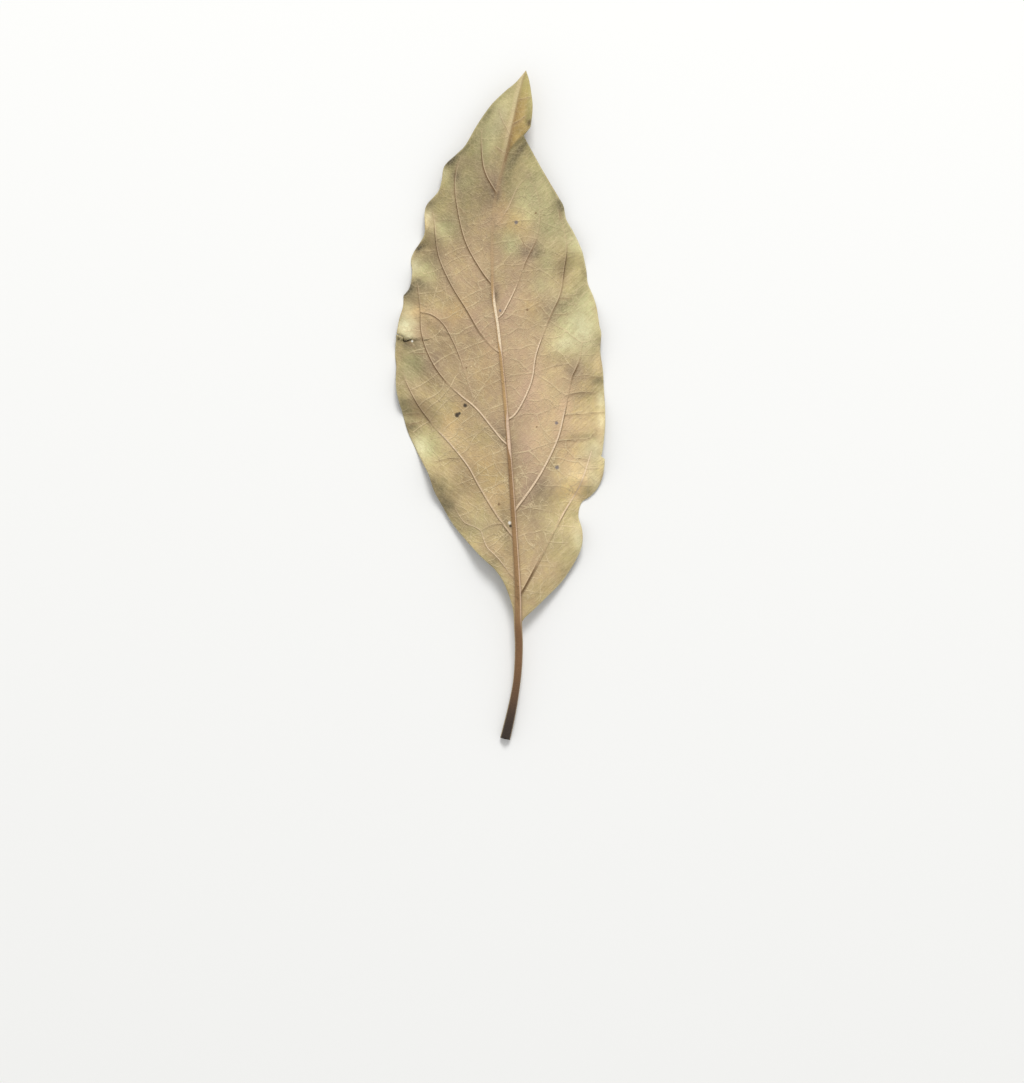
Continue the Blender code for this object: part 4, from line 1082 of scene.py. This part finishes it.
def leaf_piece():
    """Makes the visible leaf, in its place over the solid, and gives its centre in the plan."""
    leaf = FineLeaf()
    plan, faces = leaf.plan_mesh()
    value = leaf.values(plan)
    middle = in_parts(leaf.middle, plan, MIDDLE_PART_SIZE)
    middle -= (BLADE_THICK - FINE_THICK) / 2
    rim = np.sqrt(np.clip(1 - (1 - np.clip(value["edge_gap"] / RIM_WIDTH, 0, 1)) ** 2, 0, 1))
    half = FINE_THICK / 2 * slope_factor(plan, faces, middle) * (RIM_THIN + (1 - RIM_THIN) * rim)
    raised = np.maximum(value["rib_rise"], value["vein_rise"])
    net = np.clip(1 - value["net_gap"] / FINE_NET_HALF, 0, 1)
    raised = np.maximum(raised, FINE_NET_RISE * np.sin(net * math.pi / 2))
    top = np.maximum(middle, half) + half + raised
    under = middle - half + GROOVE_SHARE * value["vein_rise"]
    under = np.maximum(under - value["rib_rise"] * (1 - eased(plan[:, 1], *RIB_FADE)), 0)
    count = len(plan)
    triangles = faces.tolist() + (faces[:, ::-1] + count).tolist()
    edges = {(a, b) for face in faces.tolist() for a, b in zip(face, face[1:] + face[:1])}
    for a, b in sorted(edges):
        if (b, a) not in edges:
            triangles += [(b, a, a + count), (b, a + count, b + count)]
    vertices = np.vstack((np.column_stack((plan, top)), np.column_stack((plan, under))))
    vertices[:, :2] -= leaf.centre
    mesh = bpy.data.meshes.new("leaf_blade")
    mesh.from_pydata([tuple(v) for v in vertices * MM], [], triangles)
    mesh.materials.append(veined_face(leaf.centre))
    mesh.materials.append(smooth_face(leaf.centre))
    slots = np.zeros(len(triangles), int)
    slots[len(faces):2 * len(faces)] = 1
    mesh.polygons.foreach_set("material_index", slots)
    for name in STORED:
        layer = mesh.attributes.new(name, "FLOAT", "POINT")
        layer.data.foreach_set("value", np.tile(value[name], 2).astype(np.float32))
    mesh.update()
    mesh.shade_smooth()
    piece = bpy.data.objects.new("leaf_blade", mesh)
    bpy.context.scene.collection.objects.link(piece)
    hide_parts("avocado_leaf")
    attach(piece, "root")
    return leaf.centre


def srgb(red, green, blue):
    """A colour as read from a screen, 0 to 255, as the linear values that shaders take."""
    values = [c / 255 for c in (red, green, blue)]
    return tuple(v / 12.92 if v <= 0.04045 else ((v + 0.055) / 1.055) ** 2.4 for v in values) + (1,)


# Colours of the veined face
FIELD = srgb(195, 170, 127)
OLIVE = srgb(180, 170, 117)
ROSY = srgb(182, 153, 127)
YELLOWED = srgb(202, 180, 124)
GREEN = srgb(192, 190, 138)
PALE = srgb(216, 213, 174)
# Painted shade of the hollows and folds, partly the blade's own darker olive
HOLLOW_SHADE = srgb(114, 103, 74)
OCHRE = srgb(164, 134, 78)
OCHRE_LIGHT = srgb(188, 160, 96)
FOLD_GREEN = srgb(184, 172, 108)
AMBER = srgb(212, 176, 116)
THREAD = srgb(226, 206, 164)
SHADING = srgb(218, 212, 204)
VEIN_CREAM = srgb(238, 213, 180)
VEIN_BROWN = srgb(102, 76, 40)
VEIN_FAINT = srgb(206, 176, 138)
# Painted shade in sharp folds and beside the tip's crease
CREASE_SHADE_BROWN = srgb(128, 102, 72)
VEIN_SHADE = srgb(158, 132, 100)
RIB_BROWN = srgb(156, 122, 82)
RIB_TAN = srgb(186, 152, 104)
RIB_PINK = srgb(214, 186, 158)
RIB_CREAM = srgb(236, 216, 184)
RIB_THIN = srgb(180, 152, 114)
RIB_EDGE = srgb(138, 108, 82)
RIM_LIGHT = srgb(224, 212, 162)
RIM_BROWN = srgb(196, 172, 122)
SPOT_BROWN = srgb(128, 98, 66)
SPOT_BLUE = srgb(120, 114, 118)
SPOT_DARK = srgb(60, 50, 40)
SCORCH_BROWN = srgb(84, 66, 44)
SPOT_WHITE = srgb(240, 236, 226)
TORN_SHADE = srgb(84, 74, 52)

# Colours of the hidden face and of the stalk
HIDDEN_BROWN = srgb(146, 122, 80)
HIDDEN_OLIVE = srgb(152, 140, 90)
HIDDEN_VEIN = srgb(190, 168, 120)
STALK_BROWN = srgb(126, 92, 60)
STALK_DARK = srgb(56, 44, 36)

# Colour of the surface below
FLOOR_COLOUR = srgb(240, 240, 238)


class Shader:
    """A material with one Principled shader, and short calls for the nodes that feed it.

    Its place is the plan of the blade in millimetres, the units of the tables above. A value
    is a number, a colour, a node's output or the name of a value stored at the mesh's points.
    Numbers from 0 to 1 in the calls for it say how strongly a colour or a mark shows.
    """

    def __init__(self, name, centre):
        self.material = bpy.data.materials.new(name)
        self.material.use_nodes = True
        self.tree = self.material.node_tree
        self.base = self.tree.nodes["Principled BSDF"]
        where = self.node("ShaderNodeTexCoord").outputs["Object"]
        self.place = self.vector("MULTIPLY_ADD", where, (1 / MM,) * 3, (centre[0], centre[1], 0))[0]

    def node(self, kind, values=(), **settings):
        """A new node with these settings, whose inputs take the values, by name or number."""
        made = self.tree.nodes.new(kind)
        for key, value in settings.items():
            setattr(made, key, value)
        for key, value in dict(values).items():
            self.feed(made.inputs[key], value)
        return made

    def feed(self, socket, value):
        if isinstance(value, str):
            value = self.node("ShaderNodeAttribute", attribute_name=value).outputs["Fac"]
        if isinstance(value, (int, float, tuple)):
            socket.default_value = value
        else:
            self.tree.links.new(value, socket)

    def math(self, operation, first, second=0.0, clamp=False):
        made = self.node("ShaderNodeMath", {0: first, 1: second}, operation=operation, use_clamp=clamp)
        return made.outputs[0]

    def vector(self, operation, *values):
        """The outputs of a sum on vectors: the vector first, then the number."""
        return self.node("ShaderNodeVectorMath", enumerate(values), operation=operation).outputs

    def absolute(self, value):
        return self.math("ABSOLUTE", value)

    def chained(self, operation, values, clamp=False):
        """The values joined one after the other, with the last result kept from 0 to 1 if asked."""
        result = values[0]
        for i, value in enumerate(values[1:], 2):
            result = self.math(operation, result, value, clamp and i == len(values))
        return result

    def product(self, *values):
        return self.chained("MULTIPLY", values)

    def highest(self, *values):
        return self.chained("MAXIMUM", values)

    def total(self, *values, clamp=False):
        return self.chained("ADD", values, clamp)

    def ranged(self, value, span, low=0.0, high=1.0):
        """low below the span, high above it, and a soft change between the two."""
        inputs = {"Value": value, "From Min": span[0], "From Max": span[1], "To Min": low, "To Max": high}
        return self.node("ShaderNodeMapRange", inputs, interpolation_type="SMOOTHSTEP").outputs["Result"]

    def falling(self, value, span):
        """1 below the span, 0 above it, and a soft fall between the two."""
        return self.ranged(value, span, 1.0, 0.0)

    def band(self, value, starts, ends):
        """1 between the span where it starts and the span where it ends, and 0 outside."""
        return self.product(self.ranged(value, starts), self.falling(value, ends))

    def mix(self, share, first, second, blend="MIX"):
        """The colour first where share is 0, and second where it is 1."""
        inputs = {0: share, 6: first, 7: second}
        return self.node("ShaderNodeMix", inputs, data_type="RGBA", blend_type=blend).outputs[2]

    def between(self, share, first, second):
        """The number first where share is 0, and second where it is 1."""
        return self.node("ShaderNodeMix", {0: share, 2: first, 3: second}, data_type="FLOAT").outputs[0]

    def shaded(self, colour):
        """A colour made somewhat darker and warmer."""
        return self.mix(1.0, colour, SHADING, "MULTIPLY")

    def stretched(self, turn, length, width):
        """The place seen by grain of this length and width that runs at turn degrees to x."""
        inputs = {"Vector": self.place, "Rotation": (0, 0, math.radians(turn)),
                  "Scale": (length, width, 1)}
        return self.node("ShaderNodeMapping", inputs, vector_type="TEXTURE").outputs[0]

    def noise(self, kind, place=None):
        """A noise of a kind, (size, detail, roughness), at this place or another."""
        size, detail, rough = kind
        inputs = {"Vector": place or self.place, "Scale": 1 / size, "Detail": detail, "Roughness": rough}
        return self.node("ShaderNodeTexNoise", inputs).outputs["Fac"]

    def warped(self, size, amount):
        """The place pushed about by a noise, so that nets and spots lose their straight sides."""
        inputs = {"Vector": self.place, "Scale": 1 / size, "Detail": WARP_DETAIL}
        noise = self.node("ShaderNodeTexNoise", inputs).outputs["Color"]
        push = self.vector("MULTIPLY_ADD", noise, (amount, amount, 0), self.place)[0]
        return self.vector("MULTIPLY_ADD", push, (1, 1, 0), (-amount / 2, -amount / 2, 0))[0]

    def cells(self, size, width, warp):
        """1 on the lines of an irregular net with meshes of about this size, 0 between them."""
        inputs = {"Vector": self.warped(*warp), "Scale": 1 / size}
        made = self.node("ShaderNodeTexVoronoi", inputs, feature="DISTANCE_TO_EDGE")
        return self.falling(made.outputs["Distance"], (0.0, width))

    def spot(self, x, y, radius, place, soft=SPOT_SOFT):
        """1 in a round spot, falling to 0 at its rim."""
        away = self.vector("DISTANCE", place, (x, y, 0))["Value"]
        return self.falling(away, (radius * (1 - soft), radius * (1 + soft)))

    def surface(self, colour, roughness, height):
        """Gives the surface its colour, roughness and a relief in millimetres."""
        relief = self.node("ShaderNodeBump", {"Distance": MM, "Height": height}).outputs[0]
        self.feed(self.base.inputs["Base Color"], colour)
        self.feed(self.base.inputs["Roughness"], roughness)
        self.feed(self.base.inputs["Normal"], relief)
        return self.material


def veined_face(centre):
    """The leaf's underside, which shows: khaki to yellow-green, rosier along the ribs, with painted light
    and shade laid over.
    """
    s = Shader("leaf_veined_face", centre)
    nets = {
        "threads": s.product(s.falling(s.absolute("thread_side"), THREAD_LINE),
                             s.falling("thread_gap", THREAD_NEAR)),
        "meshes": s.cells(*MESHES),
        "strokes": hatching(s),
        "grain": s.noise(GRAIN),
    }
    colour = ground_colour(s)
    colour = net_colour(s, colour, nets)
    colour = creased(s, colour)
    colour = side_vein_colour(s, colour)
    colour = rib_colour(s, colour)
    colour = marked(s, colour)
    grainy = s.highest(s.ranged("share", GRAIN_ACROSS, 0.5, 0.36),
                       s.ranged("along", GRAIN_GROWS, 0.0, 0.55))
    grainy = s.product(s.ranged(nets["grain"], GRAIN_DARK), grainy)
    colour = s.mix(grainy, colour, s.shaded(colour))
    s.base.inputs["Specular IOR Level"].default_value = VEINED_SHINE
    s.base.inputs["Sheen Weight"].default_value = SHEEN
    s.base.inputs["Sheen Roughness"].default_value = SHEEN_ROUGH
    return s.surface(colour, s.ranged(nets["grain"], MOST_OF_NOISE, *VEINED_ROUGH), fine_relief(s, nets))


def hatching(s):
    """Fine strokes that run from the ribs out to the margin, on each side of the midrib."""
    strokes = [s.noise(STROKES, s.stretched(turn, *STROKE_SIZE)) for turn in STROKE_TURNS]
    return s.between(s.ranged("share", MIDDLE), *strokes)


def ground_colour(s):
    """From rosy brown by the ribs to olive at the margin and the tip, with the zones laid over, among
    them painted highlights, painted shade and the light zones' painted light and shade.
    """
    blotch, mottle = s.noise(BLOTCHES), s.noise(MOTTLE)
    olive = s.total(s.product(s.ranged(s.absolute("share"), OLIVE_ACROSS), 0.4),
                    s.product(s.ranged("along", OLIVE_GROWS), 0.75),
                    s.ranged(blotch, MIDDLE_OF_NOISE, -0.2, 0.3), clamp=True)
    colour = s.mix(olive, FIELD, OLIVE)
    near = s.falling("vein_gap", (0.0, VEIN_HALO))
    rosy = s.total(s.product("rose", 0.9), s.ranged(blotch, MIDDLE_OF_NOISE, 0.1, -0.12),
                   s.product(near, 0.22), clamp=True)
    colour = s.mix(rosy, colour, ROSY)
    yellow = s.product(s.ranged(mottle, YELLOW_FLECKS), s.ranged(near, YELLOW_BY_VEINS, 0.5, 0.1),
                       s.ranged("rose", YELLOW_IN_ROSE, 1.0, 0.25))
    colour = s.mix(yellow, colour, YELLOWED)
    uneven = s.ranged(mottle, MIDDLE_OF_NOISE, 0.6, 1.0)
    colour = s.mix(s.product("amber", uneven, 0.7), colour, AMBER)
    colour = s.mix(s.product("green", uneven), colour, GREEN)
    # Pale zones: partly the blade's own paler colour, partly painted highlights on lit slopes
    colour = s.mix(s.product("pale", uneven), colour, PALE)
    # Painted shade of the dark zones, partly the blade's own darker olive
    colour = s.mix(s.product("dark", s.ranged(mottle, MIDDLE_OF_NOISE, 1.0, 0.7)), colour, HOLLOW_SHADE)
    # The pleat's folded-up half: ochre, partly its own colour and partly painted shade of a face turned
    # from the light, darker towards the crease, turning yellow-green to the tip and the margin
    outer = s.product(s.ranged("share", FOLD_OUTER), s.ranged("along", FOLD_GREENS))
    ochre = s.mix(s.ranged("share", FOLD_LIGHTENS), OCHRE, OCHRE_LIGHT)
    fold = s.mix(s.highest(s.ranged("along", TIP_GREENS), outer), ochre, FOLD_GREEN)
    folded = s.product("fold", s.ranged("rib_gap", FOLD_SIDE), 0.9)
    colour = s.mix(folded, colour, fold)
    # Painted light and shade of the light zones, partly the blade's own tone, scales the colour's
    # brightness
    light = s.product("light", s.ranged(mottle, MIDDLE_OF_NOISE, 0.95, 1.05))
    return s.node("ShaderNodeHueSaturation", {"Color": colour, "Value": light}).outputs[0]


def net_colour(s, colour, nets):
    """Pale threads of the net, hatching, and painted shade on the shaded side of the net's veins, over
    the ground colour.
    """
    patchy = s.ranged(s.noise(THREAD_PATCHES), CLEAR_PATCHES, 0.25, 1.0)
    fading = s.ranged("along", NET_FADES, 1.0, 0.2)
    rightward = s.highest(s.ranged("share", NET_MIDDLE, 1.0, 0.72), s.falling("along", RIGHT_NET_FADES))
    clearer = s.ranged("along", THREADS_WEAKEN, 0.6, 0.42)
    colour = s.mix(s.product(nets["threads"], patchy, clearer, fading, rightward), colour, THREAD)
    colour = s.mix(s.product(nets["meshes"], 0.18), colour, THREAD)
    upper_left = s.highest(s.ranged("share", STROKES_MIDDLE, 0.0, 0.85),
                           s.ranged("along", LEFT_STROKES_FADE, 0.9, 0.4))
    plain = s.ranged("dark", PLAIN_IN_DARK, 1.0, 0.2)
    hollow = s.product(s.ranged(s.absolute("share"), STROKES_ACROSS, 0.35, 1.0),
                       s.ranged("along", STROKES_FADE, 1.0, 0.6), upper_left, plain,
                       s.ranged("pale", PLAIN_IN_PALE, 1.0, 0.35))
    dark_strokes = s.product(s.falling(nets["strokes"], DARK_STROKES), hollow, 0.5)
    colour = s.mix(dark_strokes, colour, s.shaded(colour))
    colour = s.mix(s.product(s.ranged(nets["strokes"], LIGHT_STROKES), hollow, 0.34), colour, THREAD)
    # Painted shade on the shaded side of each vein of the net
    under = s.product(s.ranged("net_side", NET_SHADE_STARTS), s.falling("net_gap", NET_SHADE_ENDS))
    uneven = s.ranged(s.noise(NET_PATCHES), CLEAR_PATCHES, 0.25, 1.0)
    colour = s.mix(s.product(under, uneven, fading, 0.3), colour, VEIN_SHADE)
    crest = s.falling("net_gap", NET_CREST)
    return s.mix(s.product(crest, uneven, fading, rightward, plain, 0.6), colour, THREAD)


def creased(s, colour):
    """Painted light and shade of sharp folds and the tear: a dark line with a soft painted shade below it
    and a thin painted highlight above, and the painted shadow below the torn flap.
    """
    # Painted shadow that the torn flap casts on the blade below it
    torn = s.highest(s.product("torn", 0.7), s.ranged("torn", TEAR_DARK, 0.0, 0.85))
    colour = s.mix(torn, colour, TORN_SHADE)
    below, above = s.ranged("crease_side", LINE_SIDE), s.falling("crease_side", LINE_SIDE)
    colour = s.mix(s.product(below, s.ranged("crease_gap", CREASE_SHADE, 0.45, 0.0)), colour, VEIN_SHADE)
    colour = s.mix(s.product(above, s.ranged("crease_gap", CREASE_LIGHT, 0.3, 0.0)), colour, THREAD)
    return s.mix(s.ranged("crease_gap", CREASE_LINE, 0.6, 0.0), colour, CREASE_SHADE_BROWN)


def side_vein_colour(s, colour):
    """Side veins: cream with a thin painted shadow line below, hardly seen, or a single thin brown line
    with a faint painted highlight above, and a faint painted shade beside them.
    """
    clear = s.ranged(s.absolute(s.math("SUBTRACT", "vein_tone", VEIN_FAINTEST)), FAINT_TONES, 0.3, 1.0)
    # Faint painted shade beside the veins
    colour = s.mix(s.product(s.falling("vein_gap", VEIN_BESIDE), clear, 0.12), colour, VEIN_SHADE)
    narrow = s.product("vein_half", s.ranged("vein_tone", NARROW_TONES, 0.85, 0.78))
    beyond = s.math("SUBTRACT", "vein_gap", narrow)
    line = s.product(s.band(beyond, VEIN_LINE_STARTS, VEIN_LINE_ENDS), clear)
    below, above = s.ranged("vein_side", LINE_SIDE), s.falling("vein_side", LINE_SIDE)
    strong = s.product(s.ranged("vein_half", THIN_VEINS, 0.1, 0.8),
                       s.ranged("vein_tone", BROWN_TONES, 1.0, 0.6),
                       s.ranged("vein_tone", CREAM_TONES, 0.7, 1.0),
                       s.ranged("vein_tone", PLAIN_TONES, 0.1, 1.0))
    # Painted shadow line on each vein's shaded side
    colour = s.mix(s.product(line, below, strong), colour, VEIN_BROWN)
    # Faint painted highlight on the lit side of the browner veins
    colour = s.mix(s.product(line, above, "vein_tone", 0.3), colour, VEIN_CREAM)
    body = s.falling(s.math("DIVIDE", "vein_gap", narrow), VEIN_BODY)
    tint = s.mix(s.ranged("vein_tone", TO_FAINT), VEIN_CREAM, VEIN_FAINT)
    tint = s.mix(s.ranged("vein_tone", TO_BROWN), tint, VEIN_BROWN)
    return s.mix(s.product(body, clear, 0.95), colour, tint)


def rib_colour(s, colour):
    """Midrib and stalk: brown with a light strip on the right, partly a painted highlight of its lit
    side, which widens to cream in places; painted shade beside it, and painted light and shade by the
    tip's crease.
    """
    reach = s.math("DIVIDE", s.absolute("rib_gap"), "rib_half")
    strip = s.ranged("along", RIB_WEAKENS, 1.0, 0.35)
    # Painted shade beside the midrib
    colour = s.mix(s.product(s.falling(reach, RIB_BESIDE), strip, 0.2), colour, VEIN_SHADE)
    lower = s.ranged("rib_gap", RIB_SIDE, 0.25, 0.5)
    edge = s.between(s.ranged("along", RIB_EDGE_FADES), lower, 0.12)
    colour = s.mix(s.product(s.band(reach, *RIB_OUTLINE), edge), colour, RIB_EDGE)
    low_light, high_light = (s.band("along", *light) for light in RIB_LIGHTS)
    wide = s.product(s.highest(low_light, high_light), 1.1)
    beyond = s.total(s.math("DIVIDE", "rib_gap", "rib_half"), wide)
    body = s.mix(s.ranged("along", RIB_TANS), RIB_BROWN, RIB_TAN)
    # The right strip: partly the rib's own paler colour, partly a painted highlight of its lit side
    rib = s.mix(s.ranged(beyond, RIB_LIGHT), body, s.mix(high_light, RIB_PINK, RIB_CREAM))
    rib = s.mix(s.ranged("along", RIB_THINS), rib, RIB_THIN)
    rib = s.mix(s.falling("along", STALK_ENDS), rib, STALK_BROWN)
    rib = s.mix(s.falling("along", STALK_DARKENS), rib, STALK_DARK)
    colour = s.mix(s.product(s.falling(reach, RIB_BODY), strip), colour, rib)
    # Painted highlight on the lit left side of the tip's crease
    bright = s.product(s.ranged("along", FOLD_LIGHT_STARTS), s.ranged("rib_gap", FOLD_LIGHT[0]),
                       s.falling("rib_gap", FOLD_LIGHT[1]), 0.42)
    colour = s.mix(bright, colour, THREAD)
    # Painted shade in a band on the right of the tip's crease
    dim = s.product(s.ranged("along", FOLD_SHADE_STARTS), s.ranged("rib_gap", FOLD_SHADE[0]),
                    s.falling("rib_gap", FOLD_SHADE[1]), s.ranged("along", FOLD_SHADE_FADES, 0.42, 0.1))
    return s.mix(dim, colour, CREASE_SHADE_BROWN)


def marked(s, colour):
    """Specks, one of them the painted shadow below a white speck, the scorched place of the fold, and the
    paler rim.
    """
    blurred = s.warped(*SPOT_WARP)
    for spots, tint, strength in ((BROWN_SPOTS, SPOT_BROWN, 0.8), (BLUE_SPOTS, SPOT_BLUE, 0.85),
                                  (PALE_SPOTS, THREAD, 0.7), (DARK_SPOTS, SPOT_DARK, 0.95),
                                  (WHITE_SPOTS, SPOT_WHITE, 0.95)):
        marks = s.highest(*(s.spot(*spot, blurred) for spot in spots))
        colour = s.mix(s.product(marks, strength), colour, tint)
    scorch = s.spot(*SCORCH, s.warped(*SCORCH_WARP), SCORCH_SOFT)
    colour = s.mix(s.product(scorch, 0.85), colour, SCORCH_BROWN)
    rim = s.product(s.falling("edge_gap", RIM), s.ranged("along", BLADE_STARTS),
                    s.falling("torn", RIM_IN_TEAR), s.ranged("share", RIM_ACROSS, 0.4, 0.55),
                    s.ranged("along", RIM_FADES, 1.0, 0.5), s.ranged("dark", RIM_IN_DARK, 1.0, 0.15))
    return s.mix(rim, colour, s.mix(s.ranged(s.noise(RIM_PATCHES), RIM_TINTS), RIM_LIGHT, RIM_BROWN))


def fine_relief(s, nets):
    """Height of the finest net, strokes and grain in millimetres, and of the stalk's wrinkles."""
    wrinkles = s.noise(WRINKLES, s.stretched(0, *WRINKLE_SIZE))
    return s.total(s.product(nets["threads"], THREAD_HIGH), s.product(nets["meshes"], MESH_HIGH),
                   s.ranged(nets["strokes"], MIDDLE_OF_NOISE, 0.0, STROKE_HIGH),
                   s.ranged(nets["grain"], MOST_OF_NOISE, 0.0, GRAIN_HIGH),
                   s.product(wrinkles, s.ranged("along", WRINKLES_END, WRINKLE_HIGH, 0.0)))


def smooth_face(centre):
    """The leaf's upper side, which lies hidden: an even olive brown with pale sunken veins."""
    s = Shader("leaf_smooth_face", centre)
    grain, meshes = s.noise(HIDDEN_GRAIN), s.cells(*HIDDEN_MESHES)
    colour = s.mix(s.ranged(s.noise(HIDDEN_BLOTCHES), HIDDEN_TINTS), HIDDEN_BROWN, HIDDEN_OLIVE)
    rib = s.math("DIVIDE", s.absolute("rib_gap"), "rib_half")
    lines = s.highest(s.falling("vein_gap", HIDDEN_VEINS), s.falling(rib, HIDDEN_RIB),
                      s.ranged("net_gap", HIDDEN_NET, 0.6, 0.0))
    colour = s.mix(s.product(lines, 0.6), colour, HIDDEN_VEIN)
    colour = s.mix(s.product(meshes, 0.15), colour, HIDDEN_VEIN)
    colour = s.mix(s.falling("along", HIDDEN_STALK_ENDS), colour, STALK_BROWN)
    colour = s.mix(s.falling("along", STALK_DARKENS), colour, STALK_DARK)
    height = s.total(s.product(meshes, HIDDEN_MESH_HIGH),
                     s.ranged(grain, MOST_OF_NOISE, 0.0, HIDDEN_GRAIN_HIGH))
    return s.surface(colour, s.ranged(grain, MOST_OF_NOISE, *HIDDEN_ROUGH), height)


def pale_floor():
    """A plain pale surface that the leaf lies on."""
    mesh = bpy.data.meshes.new("floor")
    half = FLOOR_SIZE / 2
    mesh.from_pydata([(-half, -half, 0), (half, -half, 0), (half, half, 0), (-half, half, 0)], [],
                     [(0, 1, 2, 3)])
    material = bpy.data.materials.new("pale_floor")
    material.use_nodes = True
    shader = material.node_tree.nodes["Principled BSDF"]
    shader.inputs["Base Color"].default_value = FLOOR_COLOUR
    shader.inputs["Roughness"].default_value = FLOOR_ROUGH
    shader.inputs["Specular IOR Level"].default_value = FLOOR_SHINE
    mesh.materials.append(material)
    floor = bpy.data.objects.new("floor", mesh)
    bpy.context.scene.collection.objects.link(floor)


def soft_light(name, place, size, power):
    """A square light that looks at the leaf."""
    data = bpy.data.lights.new(name, "AREA")
    data.size = size
    data.energy = power
    light = bpy.data.objects.new(name, data)
    light.location = place
    light.rotation_euler = (-light.location).to_track_quat("-Z", "Y").to_euler()
    bpy.context.scene.collection.objects.link(light)


def studio():
    """An even pale surrounding, and one large soft light from the upper left."""
    world = bpy.data.worlds.new("studio")
    world.use_nodes = True
    background = world.node_tree.nodes["Background"]
    background.inputs["Color"].default_value = (1, 1, 1, 1)
    background.inputs["Strength"].default_value = SKY_STRENGTH
    bpy.context.scene.world = world
    soft_light("key", KEY_PLACE, KEY_SIZE, KEY_POWER)
    bpy.context.scene.view_settings.view_transform = "Standard"


def camera_above(centre):
    """The camera looks straight down, and frames the leaf as the photograph does."""
    data = bpy.data.cameras.new("camera")
    data.sensor_width = SENSOR
    data.lens = SENSOR * CAMERA_HEIGHT / (PHOTO_HEIGHT * PIXEL)
    data.clip_start, data.clip_end = CLIP
    x = (PHOTO_WIDTH / 2 - BASE_PIXEL[0]) * PIXEL - centre[0] * MM
    y = (BASE_PIXEL[1] - PHOTO_HEIGHT / 2) * PIXEL - centre[1] * MM
    camera = bpy.data.objects.new("camera", data)
    camera.location = (x, y, LEAF_LEVEL + CAMERA_HEIGHT)
    bpy.context.scene.collection.objects.link(camera)
    bpy.context.scene.camera = camera


def main():
    centre = leaf_piece()
    pale_floor()
    studio()
    camera_above(centre)


main()
